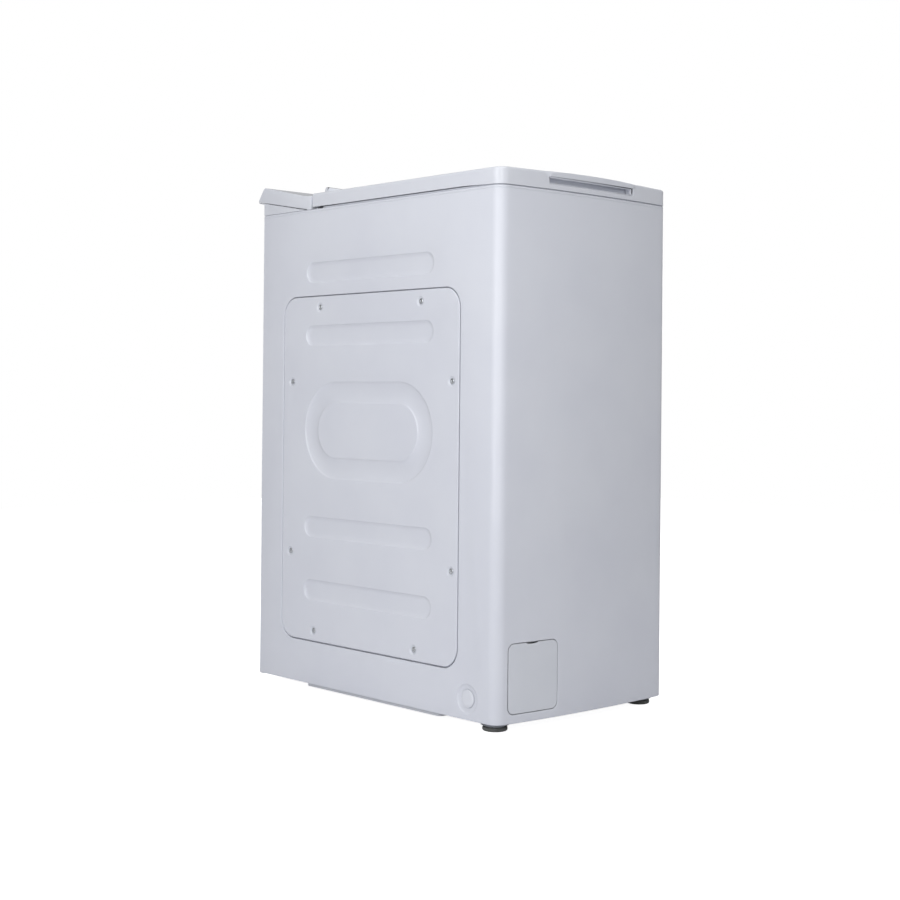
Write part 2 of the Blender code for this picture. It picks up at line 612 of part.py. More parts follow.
def make_spring(name, x, y, low, high):
    """A wire coil hung upright: turns, steps for each turn and sides for each step are its fineness."""
    turns, steps, sides = 5, 8, 4
    coil, wire = 0.0090, 0.0013
    rings = []
    for i in range(turns * steps + 1):
        a = 2 * math.pi * i / steps
        centre = Vector((x + coil * math.cos(a), y + coil * math.sin(a), low + (high - low) * i / (turns * steps)))
        outward = Vector((math.cos(a), math.sin(a), 0))
        ring = []
        for k in range(sides):
            b = 2 * math.pi * k / sides
            ring.append(centre + wire * (math.cos(b) * outward + math.sin(b) * Vector((0, 0, 1))))
        rings.append(ring)
    smooth(loft(name, rings, "zinc_steel"), 60)


# ---- drum and drive ----

def arc_plate(name, start, end, radius, sheet, x_low, x_high, steps, finish):
    """A sheet bent about the drum's axis. Angles are in degrees from straight up, positive to the front."""
    angles = np.radians(np.linspace(start, end, steps))
    outer = [(AXIS_Y - radius * math.sin(a), AXIS_Z + radius * math.cos(a)) for a in angles]
    inner = [(AXIS_Y - (radius - sheet) * math.sin(a), AXIS_Z + (radius - sheet) * math.cos(a)) for a in angles]
    return prism(name, outer + inner[::-1], x_low, x_high, "x", finish)


def hinge_point(side):
    a = math.radians(DOOR_ARC)
    radius = DRUM_RADIUS - DRUM_SHEET / 2
    return (AXIS_Y - side * radius * math.sin(a), AXIS_Z + radius * math.cos(a))


def make_drum():
    steps = 36
    centre = (0, AXIS_Y, AXIS_Z)
    inner = DRUM_RADIUS - DRUM_SHEET
    ring = ((DRUM_X[0], DRUM_RADIUS), (DRUM_X[1], DRUM_RADIUS), (DRUM_X[1], inner), (DRUM_X[0], inner))
    shell = turned("drum_shell", ring, "x", centre, "stainless", steps, closed=True)
    edge = DOOR_ARC + 0.8
    gap = 0.001
    cut(shell, arc_plate("opening", -edge, edge, DRUM_RADIUS + 0.01, 0.03, DOOR_X[0] - gap, DOOR_X[1] + gap, 9,
                         "stainless"))
    paint_again(shell, "stainless")
    for side, word, face in ((-1, "left", DRUM_X[0]), (1, "right", DRUM_X[1])):
        tip = -0.190 if side < 0 else TUB_X[1] + 0.010
        near = face - side * 0.0040
        profile = ((near, inner - GAP), (near + side * 0.0025, inner - GAP), (near + side * 0.0040, 0.0600),
                   (near + side * 0.0040, 0.0300), (face + side * 0.0020, 0.0125),
                   (face + side * 0.0020, SHAFT_RADIUS), (tip, SHAFT_RADIUS))
        turned(f"drum_end_{word}", profile, "x", centre, "stainless", steps)
    for word, angle in (("front", 115), ("rear", -115)):
        a = math.radians(angle)
        base, height = 0.028, 0.045
        radial = np.array((-math.sin(a), math.cos(a)))
        along = np.array((math.cos(a), math.sin(a)))
        middle = np.array((AXIS_Y, AXIS_Z)) + (inner - 0.0035) * radial
        outline = [middle - base * along, middle + base * along, middle + 0.008 * along - height * radial,
                   middle - 0.008 * along - height * radial]
        prism(f"drum_lifter_{word}", outline, DRUM_X[0] + 0.010, DRUM_X[1] - 0.010, "x", "grey_plastic")


def make_drum_doors():
    """Two flaps that meet over the drum's opening, each rolled round its hinge at the outer edge."""
    for side, word in ((1, "front"), (-1, "rear")):
        y, z = hinge_point(side)
        door = arc_plate(f"drum_door_{word}", side * 0.25, side * DOOR_ARC, DRUM_RADIUS, DRUM_SHEET, *DOOR_X, 7,
                         "stainless")
        join(door, prism("knuckle", circle((y, z), 0.0016, 12), DOOR_X[0] + 0.0001, DOOR_X[1] - 0.0001, "x"))
        if side > 0:
            cut(door, box("latch_window", (-0.0124, AXIS_Y - 0.0284, AXIS_Z), (0.0274, AXIS_Y - 0.0116, AXIS_Z + 0.3)))
        paint_again(door, "stainless")
        place_moving(door, (0, y, z))
    top = AXIS_Z + DRUM_RADIUS
    latch = box("door_latch_button", (-0.0120, AXIS_Y - 0.0280, top - 0.0060), (0.0270, AXIS_Y - 0.0120, top + 0.0006),
                "grey_plastic")
    place_moving(latch, (0.0075, AXIS_Y - 0.0200, top))


def make_drive():
    centre = (0, AXIS_Y, AXIS_Z)
    rim, low, high = PULLEY_RADIUS, PULLEY_X[0], PULLEY_X[1]
    ring = ((low, rim), (high, rim), (high, rim - 0.006), (-0.173, rim - 0.008), (-0.173, 0.032), (-0.163, 0.026),
            (-0.163, SHAFT_RADIUS + GAP), (-0.1845, SHAFT_RADIUS + GAP), (-0.1845, 0.026), (-0.177, 0.032),
            (-0.177, rim - 0.008), (low, rim - 0.006))
    turned("drum_pulley", ring, "x", centre, "aluminium", 36, closed=True)
    my, mz = MOTOR_YZ
    motor = (0, my, mz)
    ring = ((MOTOR_X[0], 0.052), (MOTOR_X[1], 0.052), (MOTOR_X[1], 0.0075), (MOTOR_X[1] - 0.004, 0.0075),
            (MOTOR_X[1] - 0.004, 0.0365), (MOTOR_X[0] + 0.004, 0.0365), (MOTOR_X[0] + 0.004, 0.0075),
            (MOTOR_X[0], 0.0075))
    turned("motor_housing", ring, "x", motor, "zinc_steel", 24, closed=True)
    shaft, rotor = 0.0060, 0.0350
    profile = ((-0.190, shaft), (MOTOR_X[0] + 0.010, shaft), (MOTOR_X[0] + 0.010, rotor), (MOTOR_X[1] - 0.010, rotor),
               (MOTOR_X[1] - 0.010, shaft), (MOTOR_X[1] + 0.008, shaft))
    turned("motor_rotor", profile, "x", motor, "zinc_steel", 24)
    radius = MOTOR_PULLEY_RADIUS
    ring = ((low, radius), (high, radius), (high, shaft + GAP), (low, shaft + GAP))
    turned("motor_pulley", ring, "x", motor, "aluminium", 24, closed=True)
    make_belt()


def make_belt():
    """A ribbed belt: two straight runs tangent to both pulleys and an arc round each."""
    big = Vector((AXIS_Y, AXIS_Z))
    small = Vector(MOTOR_YZ)
    rest = 0.0006
    thick = 0.0030
    line = small - big
    heading = math.atan2(line.y, line.x)
    lean = math.acos((PULLEY_RADIUS - MOTOR_PULLEY_RADIUS) / line.length)
    loops = []
    for grow in (rest, rest + thick):
        points = []
        for a in np.linspace(heading + lean, heading + 2 * math.pi - lean, 40):
            points.append((big.x + (PULLEY_RADIUS + grow) * math.cos(a), big.y + (PULLEY_RADIUS + grow) * math.sin(a)))
        for a in np.linspace(heading - lean, heading + lean, 10):
            reach = MOTOR_PULLEY_RADIUS + grow
            points.append((small.x + reach * math.cos(a), small.y + reach * math.sin(a)))
        loops.append(np.array(points))
    rings = []
    for x, loop in ((-0.182, loops[0]), (-0.168, loops[0]), (-0.168, loops[1]), (-0.182, loops[1])):
        rings.append(np.insert(loop, 0, x, axis=1))
    smooth(loft("drive_belt", rings, "rubber", closed=True))


# ---- front flap and filter ----

def flap_hinge():
    """Middle and direction of the flap's hinge, which lies in the front's face and follows its slant."""
    left, right = front_at(FLAP_X[0]), front_at(FLAP_X[1])
    direction = Vector((FLAP_X[1] - FLAP_X[0], right - left, 0)).normalized()
    middle_x = (FLAP_X[0] + FLAP_X[1]) / 2
    middle_y = (left + right) / 2
    return Vector((middle_x, middle_y, FLAP_PIN_Z)), direction


def make_filter_flap():
    outer, inner = plan(0, -0.28, bow_steps=24), plan(FLAP_SHEET, -0.28, bow_steps=24)
    flap = prism("filter_flap", outer + inner[::-1], 0.02, 0.15, "z", "white_plastic")
    combine(flap, [prism("outline", flap_outline(0), FRONT - 0.01, FRONT + 0.02, "y")], "INTERSECT")
    cut(flap, box("grip", (-0.1380, FRONT - 0.01, FLAP_Z[1] - 0.0016), (-0.1126, FRONT + 0.02, FLAP_Z[1] + 0.01)))
    paint_again(flap, "white_plastic")
    place_moving(flap, flap_hinge()[0])


def make_filter_cap():
    x, z = FILTER_XZ
    profile = ((-0.3005, 0.0240), (-0.2990, 0.0270), (-0.2760, 0.0270), (-0.2755, 0.0258), (-0.2150, 0.0258))
    cap = turned("filter_cap", profile, "y", (x, 0, z), "grey_plastic", 20)
    join(cap, box("grip", (x - 0.020, -0.3080, z - 0.0035), (x + 0.020, -0.2995, z + 0.0035)))
    paint_again(cap, "grey_plastic")
    place_moving(cap, (x, 0, z))


def hang_on(name, pivot, members):
    """Parents pieces that move together to an empty on their joint's axis, leaving them where they are."""
    empty = bpy.data.objects.new(name, None)
    bpy.context.scene.collection.objects.link(empty)
    empty.location = pivot
    for member in members:
        obj = bpy.data.objects[member]
        obj.parent = empty
        obj.location = obj.location - Vector(pivot)


def main():
    clear_scene()
    make_cabinet_wrap()
    make_service_cover()
    make_cover_screws()
    make_side_plug()
    make_rear_panel()
    make_base_pan()
    make_feet()
    make_top_frame()
    make_gasket()
    make_detergent_tray()
    make_lid()
    make_console()
    make_controls()
    make_tub()
    make_tub_fittings()
    make_drum()
    make_drum_doors()
    make_drive()
    make_filter_flap()
    make_filter_cap()
    hang_on("lid_pivot", (0, *LID_PIN), ("lid_cover", "lid_inner"))
    hang_on("motor_axis", (0, *MOTOR_YZ), ("motor_rotor", "motor_pulley"))
    hang_on("drum_axis", (0, AXIS_Y, AXIS_Z), ("drum_shell", "drum_end_left", "drum_end_right", "drum_pulley",
                                               "drum_lifter_front", "drum_lifter_rear"))
    for word, side in (("left", -1), ("right", 1)):
        hang_on(f"foot_axis_{word}", (side * FOOT_XY[0], FOOT_XY[1], 0), (f"front_foot_{word}",))


main()
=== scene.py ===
import json
import math

import bmesh
import bpy
import numpy as np
from mathutils import Matrix, Vector
from mathutils.geometry import delaunay_2d_cdt


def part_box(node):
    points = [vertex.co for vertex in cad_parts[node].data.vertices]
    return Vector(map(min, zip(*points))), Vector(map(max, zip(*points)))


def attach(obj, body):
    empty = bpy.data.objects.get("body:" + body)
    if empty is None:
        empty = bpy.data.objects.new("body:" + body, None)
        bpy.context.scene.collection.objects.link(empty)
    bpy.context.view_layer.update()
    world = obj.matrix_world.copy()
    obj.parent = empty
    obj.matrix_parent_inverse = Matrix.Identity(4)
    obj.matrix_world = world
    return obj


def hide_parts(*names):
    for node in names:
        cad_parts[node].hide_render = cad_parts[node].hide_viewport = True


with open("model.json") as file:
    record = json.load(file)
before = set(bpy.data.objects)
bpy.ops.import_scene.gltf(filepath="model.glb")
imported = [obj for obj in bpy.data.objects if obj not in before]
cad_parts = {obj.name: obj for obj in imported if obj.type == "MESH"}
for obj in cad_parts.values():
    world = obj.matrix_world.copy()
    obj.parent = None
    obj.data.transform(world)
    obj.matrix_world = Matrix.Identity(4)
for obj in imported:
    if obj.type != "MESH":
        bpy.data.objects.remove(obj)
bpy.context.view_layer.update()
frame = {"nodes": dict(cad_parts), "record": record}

nodes = frame["nodes"]
up = Vector((0, 0, 1))

# camera, light and floor

cameraView = {
    "azimuth": -42.687, "elevation": -0.305, "roll": 0.540,   # degrees
    "place": (-1.85583, -2.02106, 0.51727),                   # metres
    "lens": 61.84, "shiftX": -0.01021, "shiftY": -0.06583,
}

softBoxes = {   # place, aim and size in metres, power in watts
    "keyBoxNear": ((-1.28, -1.62, 1.25), (-0.15, -0.1, 0.55), (0.75, 1.9), 8.9),
    "keyBoxFar": ((-2.00, -0.62, 1.25), (-0.15, -0.1, 0.55), (0.95, 1.9), 13.2),
    "topBox": ((-0.6, -0.5, 2.6), (0.0, 0.0, 0.8), (1.6, 1.6), 10),
    "fillBox": ((2.4, 1.6, 1.6), (0.0, 0.0, 0.5), (1.6, 1.6), 18),
}

studio = {"wall": 1.0, "glow": 0.37, "floorSize": 9.0, "floorGlow": 0.93}


def setCamera(view):
    az, el, roll = (math.radians(view[key]) for key in ("azimuth", "elevation", "roll"))
    back = Vector((math.sin(az) * math.cos(el), -math.cos(az) * math.cos(el), math.sin(el)))
    right = up.cross(back).normalized()
    top = back.cross(right)
    across = math.cos(roll) * right + math.sin(roll) * top
    upward = math.cos(roll) * top - math.sin(roll) * right
    lens = bpy.data.cameras.new("camera")
    lens.sensor_width = 36
    lens.lens = view["lens"]
    lens.shift_x = view["shiftX"]
    lens.shift_y = view["shiftY"]
    camera = bpy.data.objects.new("camera", lens)
    camera.matrix_world = Matrix.Translation(view["place"]) @ Matrix((across, upward,
                                                                      back)).transposed().to_4x4()
    bpy.context.scene.collection.objects.link(camera)
    bpy.context.scene.camera = camera


def addSoftBox(name, place, aim, size, power):
    lamp = bpy.data.lights.new(name, "AREA")
    lamp.shape = "RECTANGLE"
    lamp.size, lamp.size_y = size
    lamp.energy = power
    holder = bpy.data.objects.new(name, lamp)
    holder.location = place
    holder.rotation_euler = (Vector(aim) - Vector(place)).to_track_quat("-Z", "Y").to_euler()
    holder.visible_camera = False
    bpy.context.scene.collection.objects.link(holder)


# sRGB hex to linear: below 0.04045 divided by 12.92, above it ((c + 0.055) / 1.055) to the power 2.4.
def toLinear(hexColour):
    parts = np.array([int(hexColour[i:i + 2], 16) / 255 for i in (1, 3, 5)])
    linear = np.where(parts <= 0.04045, parts / 12.92, ((parts + 0.055) / 1.055) ** 2.4)
    return (*linear.tolist(), 1.0)


def addNode(tree, kind, inputs=None, **settings):
    node = tree.nodes.new(kind)
    for key, value in settings.items():
        setattr(node, key, value)
    for key, value in (inputs or {}).items():
        if isinstance(value, bpy.types.NodeSocket):
            tree.links.new(value, node.inputs[key])
        else:
            node.inputs[key].default_value = value
    return node


def setStudio():
    world = bpy.data.worlds.new("studio")
    bpy.context.scene.world = world
    world.use_nodes = True
    tree = world.node_tree
    tree.nodes.clear()
    path = addNode(tree, "ShaderNodeLightPath")
    glow = addNode(tree, "ShaderNodeMapRange", {"Value": path.outputs["Is Camera Ray"],
                                                "To Min": studio["glow"], "To Max": studio["wall"]})
    sky = addNode(tree, "ShaderNodeBackground", {"Color": (1, 1, 1, 1), "Strength": glow.outputs["Result"]})
    addNode(tree, "ShaderNodeOutputWorld", {"Surface": sky.outputs["Background"]})
    bpy.context.scene.view_settings.view_transform = "Standard"


setCamera(cameraView)
setStudio()
for boxName, box in softBoxes.items():
    addSoftBox(boxName, *box)
print("camera and studio set")

# finishes

# Grain finer than about 1.2 mm doesn't show at this size, so it is drawn that coarse.

# Round dots of another colour, one in each cell of a random lattice; gives the colour and the dots.
def addSpeckle(tree, place, result, look):
    cells = addNode(tree, "ShaderNodeTexVoronoi", {"Vector": place, "Scale": 1000 / look["speckleMm"]})
    dots = addNode(tree, "ShaderNodeMapRange", {"Value": cells.outputs["Distance"], "From Min": 0.18,
                                                "From Max": 0.34, "To Min": look["speckleMix"],
                                                "To Max": 0.0})
    speckled = addNode(tree, "ShaderNodeMix", {"Factor": dots.outputs["Result"], "A": result,
                                               "B": toLinear(look["speckle"])}, data_type="RGBA")
    return speckled.outputs["Result"], dots.outputs["Result"]


# Hexagonal lattice of round holes wrapped round an axis along X, drawn as painted shade: dark where the
# nearest lattice point is within the hole's size, standing in for the shade seen through the holes. Two
# square lattices, half a cell apart, make the hexagonal one.
def paintHoleShade(tree, place, result, hole):
    hexRatio = 1.732
    part = addNode(tree, "ShaderNodeSeparateXYZ", {"Vector": place}).outputs
    across = addNode(tree, "ShaderNodeMath", {0: part["Y"], 1: hole["axis"][0]}, operation="SUBTRACT")
    rise = addNode(tree, "ShaderNodeMath", {0: part["Z"], 1: hole["axis"][1]}, operation="SUBTRACT")
    turn = addNode(tree, "ShaderNodeMath", {0: across.outputs[0], 1: rise.outputs[0]}, operation="ARCTAN2")
    grid = addNode(tree, "ShaderNodeCombineXYZ", {"X": turn.outputs[0], "Y": part["X"]})
    scale = (hole["radius"] / hole["pitch"], 1 / (hole["pitch"] * hexRatio), 1)
    distances = []
    for shift in (0.0, 0.5):
        cell = addNode(tree, "ShaderNodeMapping", {"Vector": grid.outputs[0], "Scale": scale,
                                                   "Location": (shift, shift, 0)})
        for operation, value in (("FRACTION", None), ("SUBTRACT", (0.5, 0.5, 0)),
                                 ("MULTIPLY", (1, hexRatio, 0))):
            inputs = {0: cell.outputs[0]} if value is None else {0: cell.outputs[0], 1: value}
            cell = addNode(tree, "ShaderNodeVectorMath", inputs, operation=operation)
        distances.append(addNode(tree, "ShaderNodeVectorMath", {0: cell.outputs[0]}, operation="LENGTH"))
    nearest = addNode(tree, "ShaderNodeMath", {0: distances[0].outputs["Value"],
                                               1: distances[1].outputs["Value"]},
                      operation="MINIMUM")
    inside = addNode(tree, "ShaderNodeMapRange", {"Value": nearest.outputs[0],
                                                  "From Min": hole["size"] * 0.92,
                                                  "From Max": hole["size"] * 1.08, "To Min": 1, "To Max": 0})
    return addNode(tree, "ShaderNodeMix", {"Factor": inside.outputs["Result"], "A": result,
                                           "B": toLinear(hole["shade"])}, data_type="RGBA").outputs["Result"]


# Colour = base mixed with tint by broad noise; roughness and bump = fine noise, stretched along one axis.
def makeFinish(name, look):
    material = bpy.data.materials.new(name)
    material.use_nodes = True
    tree = material.node_tree
    shader = tree.nodes["Principled BSDF"]
    shader.inputs["Metallic"].default_value = look.get("metallic", 0.0)
    if "ior" in look:
        shader.inputs["IOR"].default_value = look["ior"]
    if "coat" in look:
        shader.inputs["Coat Weight"].default_value = look["coat"]
        shader.inputs["Coat Roughness"].default_value = look["coatRoughness"]
    place = addNode(tree, "ShaderNodeTexCoord").outputs["Object"]
    spread = addNode(tree, "ShaderNodeMapping", {"Vector": place, "Scale": look.get("stretch", (1, 1, 1))})
    fine = addNode(tree, "ShaderNodeTexNoise", {"Vector": spread.outputs["Vector"],
                                                "Scale": 1000 / look["grainMm"],
                                                "Detail": look.get("detail", 2.0), "Roughness": 0.55})
    broad = addNode(tree, "ShaderNodeTexNoise", {"Vector": place, "Scale": 1000 / look["patchMm"],
                                                 "Detail": 3.0})
    patch = addNode(tree, "ShaderNodeMapRange", {"Value": broad.outputs["Fac"], "From Min": 0.35,
                                                 "From Max": 0.65})
    colour = addNode(tree, "ShaderNodeMix", {"Factor": patch.outputs["Result"], "A": toLinear(look["base"]),
                                             "B": toLinear(look["tint"])}, data_type="RGBA")
    result = colour.outputs["Result"]
    height = fine.outputs["Fac"]
    if "speckle" in look:
        result, dots = addSpeckle(tree, place, result, look)
        height = addNode(tree, "ShaderNodeMath", {0: height, 1: dots}, operation="SUBTRACT").outputs["Value"]
    if "holes" in look:
        # holes drawn as near-black dots: painted shade for the dark seen through them, not cut in the mesh
        result = paintHoleShade(tree, place, result, look["holes"])
    low, high = look["rough"]
    gloss = addNode(tree, "ShaderNodeMapRange", {"Value": fine.outputs["Fac"], "From Min": 0.3,
                                                 "From Max": 0.7, "To Min": low, "To Max": high})
    bump = addNode(tree, "ShaderNodeBump", {"Height": height, "Strength": look.get("bump", 0.5),
                                            "Distance": look["reliefMm"] / 1000})
    tree.links.new(result, shader.inputs["Base Color"])
    tree.links.new(gloss.outputs["Result"], shader.inputs["Roughness"])
    tree.links.new(bump.outputs["Normal"], shader.inputs["Normal"])
    return material


finishes = {
    # coil-coated steel: baked polyester on pressed sheet; an even satin with the faintest orange peel
    "coatedSteel": {"base": "#e2e5ee", "tint": "#dee1eb", "rough": (0.44, 0.50), "grainMm": 2.6,
                    "reliefMm": 0.006,
                    "bump": 0.20, "patchMm": 160, "ior": 1.5, "coat": 0.5, "coatRoughness": 0.05},
    # moulded ABS: slightly cooler and glossier than the sheet, with a soft spark-eroded grain
    "mouldedAbs": {"base": "#e5e8f0", "tint": "#e1e4ed", "rough": (0.40, 0.46), "grainMm": 1.6,
                   "reliefMm": 0.005,
                   "bump": 0.20, "patchMm": 120, "ior": 1.54, "coat": 0.6, "coatRoughness": 0.06},
    # the flap's ABS, a shade darker than the sheet round it
    "shadedAbs": {"base": "#e0e3eb", "tint": "#dce0e8", "rough": (0.36, 0.43), "grainMm": 1.6,
                  "reliefMm": 0.010, "bump": 0.25, "patchMm": 120, "ior": 1.54},
    # talc filled polypropylene: dull grey with pale flow streaks
    "talcPolypropylene": {"base": "#8d9298", "tint": "#9aa0a6", "rough": (0.48, 0.62), "grainMm": 2.0,
                          "reliefMm": 0.05, "patchMm": 45, "ior": 1.49},
    # the sill's lighter polypropylene, which reads as part of the white body
    "palePolypropylene": {"base": "#cfd2d8", "tint": "#c6c9d0", "rough": (0.45, 0.58), "grainMm": 1.8,
                          "reliefMm": 0.04, "patchMm": 60, "ior": 1.49},
    # glass filled nylon: almost black, with short pale fibres at the skin
    "blackNylon": {"base": "#26282b", "tint": "#2f3236", "rough": (0.42, 0.58), "grainMm": 1.5,
                   "reliefMm": 0.04, "patchMm": 25, "ior": 1.53},
    # electroplated zinc: bluish white passivation with cloudy patches
    "zincPlate": {"base": "#b9bdc2", "tint": "#a7acb3", "rough": (0.24, 0.40), "grainMm": 1.6,
                  "reliefMm": 0.02, "patchMm": 9, "metallic": 1.0},
    # the screws' brighter zinc, smooth enough to carry a highlight
    "screwZinc": {"base": "#d2d5d8", "tint": "#bfc3c8", "rough": (0.08, 0.16), "grainMm": 1.2,
                  "reliefMm": 0.01, "patchMm": 4, "metallic": 1.0},
    # rolled ferritic stainless: fine lines run round the drum
    "rolledStainless": {"base": "#c6c7c8", "tint": "#b9babc", "rough": (0.18, 0.34), "grainMm": 1.4,
                        "stretch": (1.0, 0.05, 0.05), "reliefMm": 0.015, "patchMm": 70, "metallic": 1.0},
    # the same stainless with the drum's drain holes drawn on it as near-black dots of painted shade, for the
    # dark seen through them
    "stainlessHoleShade": {"base": "#c6c7c8", "tint": "#b9babc", "rough": (0.18, 0.34), "grainMm": 1.4,
                         "stretch": (1.0, 0.05, 0.05), "reliefMm": 0.015, "patchMm": 70, "metallic": 1.0,
                         "holes": {"axis": (-0.010, 0.445), "radius": 0.230, "pitch": 0.0125, "size": 0.14,
                                   # shade: near-black colour of the painted hole shade
                                   "shade": "#0c0d0e"}},
    # die cast aluminium: dull skin with flow marks
    "castAluminium": {"base": "#b4b7ba", "tint": "#a2a6aa", "rough": (0.36, 0.52), "grainMm": 1.8,
                      "reliefMm": 0.06, "patchMm": 18, "metallic": 1.0},
    # cast concrete: grey cement skin with sand and open pores
    "castConcrete": {"base": "#8f8c86", "tint": "#a19e97", "rough": (0.80, 0.95), "grainMm": 1.8,
                     "detail": 6.0,
                     "reliefMm": 0.35, "patchMm": 30, "speckle": "#4e4c48", "speckleMm": 7.0,
                     "speckleMix": 0.55, "ior": 1.55},
    # moulded EPDM rubber: matte charcoal with a dusty bloom
    "mouldedEpdm": {"base": "#35373a", "tint": "#44474a", "rough": (0.62, 0.80), "grainMm": 1.4,
                    "reliefMm": 0.05, "patchMm": 14, "ior": 1.52},
    # the bellows' light grey EPDM with the same bloom
    "greyEpdm": {"base": "#7e8286", "tint": "#8c9094", "rough": (0.55, 0.72), "grainMm": 1.5,
                 "reliefMm": 0.05, "patchMm": 22, "ior": 1.52},
    # foot pad rubber, greyer where the floor has polished it
    "footRubber": {"base": "#5a5c5a", "tint": "#6a6c6a", "rough": (0.45, 0.70), "grainMm": 1.6,
                   "reliefMm": 0.08, "patchMm": 8, "ior": 1.52},
    # epoxy glass board under green solder mask
    "solderMask": {"base": "#1d5a33", "tint": "#174a2a", "rough": (0.28, 0.42), "grainMm": 1.6,
                   "reliefMm": 0.03,
                   "patchMm": 12, "speckle": "#b9a45a", "speckleMm": 9.0, "speckleMix": 0.8, "ior": 1.55},
    # smoked acrylic window over the display
    "smokedAcrylic": {"base": "#14161a", "tint": "#181b20", "rough": (0.06, 0.10), "grainMm": 4.0,
                      "reliefMm": 0.004, "patchMm": 60, "ior": 1.49, "coat": 0.6, "coatRoughness": 0.03},
    # pad printed ink, flat and slightly raised
    "padPrint": {"base": "#5b6068", "tint": "#646971", "rough": (0.50, 0.60), "grainMm": 1.3,
                 "reliefMm": 0.008, "patchMm": 20, "ior": 1.5},
}

made = {name: makeFinish(name, look) for name, look in finishes.items()}

finishOfSlot = {
    "enamelled_steel": "coatedSteel", "white_plastic": "mouldedAbs", "grey_plastic": "talcPolypropylene",
    "dark_plastic": "blackNylon", "zinc_steel": "zincPlate", "stainless_steel": "rolledStainless",
    "cast_aluminium": "castAluminium", "concrete": "castConcrete", "rubber": "mouldedEpdm",
    "grey_rubber": "greyEpdm", "circuit_board": "solderMask",
}
finishOfNode = {"base_pan": "palePolypropylene"}
for row in frame["record"]["subparts"]:
    for place in nodes[row["node"]].material_slots:
        place.link = "OBJECT"
        place.material = made[finishOfNode.get(row["node"], finishOfSlot[row["material_slot"]])]
print("finishes made:", len(made))


def makeFloor():
    half = studio["floorSize"] / 2
    mesh = bpy.data.meshes.new("floor")
    mesh.from_pydata([(-half, -half, 0), (half, -half, 0), (half, half, 0), (-half, half, 0)], [],
                     [(0, 1, 2, 3)])
    floor = bpy.data.objects.new("floor", mesh)
    bpy.context.scene.collection.objects.link(floor)
    material = bpy.data.materials.new("paleStudioFloor")
    material.use_nodes = True
    tree = material.node_tree
    shader = tree.nodes["Principled BSDF"]
    shader.inputs["Base Color"].default_value = toLinear("#e8e8ea")
    shader.inputs["Roughness"].default_value = 0.9
    shader.inputs["Emission Color"].default_value = (1, 1, 1, 1)
    seen = addNode(tree, "ShaderNodeMath", {0: addNode(tree, "ShaderNodeLightPath").outputs["Is Camera Ray"],
                                            1: studio["floorGlow"]}, operation="MULTIPLY")
    tree.links.new(seen.outputs["Value"], shader.inputs["Emission Strength"])
    mesh.materials.append(material)


makeFloor()

# tools that turn a formula into a piece


# Makes an object from arrays. A closed one has its doubles merged and its faces turned outwards.
def addPiece(name, points, faces, finish, body, slot, stands=(), sharp=32, closed=False):
    mesh = bpy.data.meshes.new(name)
    mesh.from_pydata(np.asarray(points, float).tolist(), [], [list(map(int, face)) for face in faces])
    mesh.materials.append(made[finish])
    if closed:
        tidyNormals(mesh)
    mesh.shade_smooth()
    mesh.set_sharp_from_angle(angle=math.radians(sharp))
    piece = bpy.data.objects.new(name, mesh)
    bpy.context.scene.collection.objects.link(piece)
    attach(piece, body)
    if stands:
        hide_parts(*stands)
    return piece


def tidyNormals(mesh):
    work = bmesh.new()
    work.from_mesh(mesh)
    bmesh.ops.remove_doubles(work, verts=work.verts, dist=2e-6)
    bmesh.ops.recalc_face_normals(work, faces=work.faces)
    work.to_mesh(mesh)
    work.free()


def solidify(piece, thickness):
    wall = piece.modifiers.new("wall", "SOLIDIFY")
    wall.thickness = thickness
    wall.offset = -1


# Quads of a grid of rows by columns, each joined to the next one along and across.
def gridFaces(rows, columns, wrapRows=False, wrapColumns=True):
    i = np.arange(rows if wrapRows else rows - 1)[:, None]
    k = np.arange(columns if wrapColumns else columns - 1)[None, :]
    nextI, nextK = (i + 1) % rows, (k + 1) % columns
    quads = np.stack([i * columns + k, i * columns + nextK, nextI * columns + nextK, nextI * columns + k], -1)
    return quads.reshape(-1, 4).tolist()


# Skins a stack of closed rings, and closes its two ends with a face each.
def loftRings(rings, capStart=True, capEnd=True, wrapRows=False):
    rings = np.asarray(rings, float)
    rows, columns = rings.shape[:2]
    faces = gridFaces(rows, columns, wrapRows)
    if capStart and not wrapRows:
        faces.append(list(range(columns)))
    if capEnd and not wrapRows:
        faces.append(list(range((rows - 1) * columns, rows * columns)))
    return rings.reshape(-1, 3), faces


# Turns (height, radius) points about a direction: centre + height * direction + radius * outward.
def turnedRings(profile, centre, direction, steps=64, flutes=0, fluteDepth=0.0):
    profile = np.asarray(profile, float)
    direction = np.asarray(direction, float)
    side = np.cross(direction, (0.0, 0.0, 1.0) if abs(direction[2]) < 0.9 else (1.0, 0.0, 0.0))
    side /= np.linalg.norm(side)
    other = np.cross(direction, side)
    angle = np.linspace(0, 2 * np.pi, steps, endpoint=False)
    ripple = 1 - fluteDepth * (0.5 + 0.5 * np.cos(flutes * angle)) ** 3 if flutes else np.ones(steps)
    outward = np.cos(angle)[:, None] * side + np.sin(angle)[:, None] * other
    radius = profile[:, 1][:, None] * ripple[None, :]
    return np.asarray(centre) + profile[:, 0][:, None, None] * direction + radius[:, :, None] * outward


# A closed piece turned from a profile that starts and ends on its axis.
def turnedPiece(name, profile, centre, direction, steps, finish, body, slot, stands=(), sharp=40, **flutes):
    rings = turnedRings(profile, centre, direction, steps, **flutes)
    addPiece(name, *loftRings(rings, False, False), finish, body, slot, stands, sharp, closed=True)


# Several pairs of points and faces as one pair.
def joined(parts):
    points, faces, count = [], [], 0
    for somePoints, theirFaces in parts:
        points.append(somePoints)
        faces += [[count + int(k) for k in face] for face in theirFaces]
        count += len(somePoints)
    return np.concatenate(points), faces


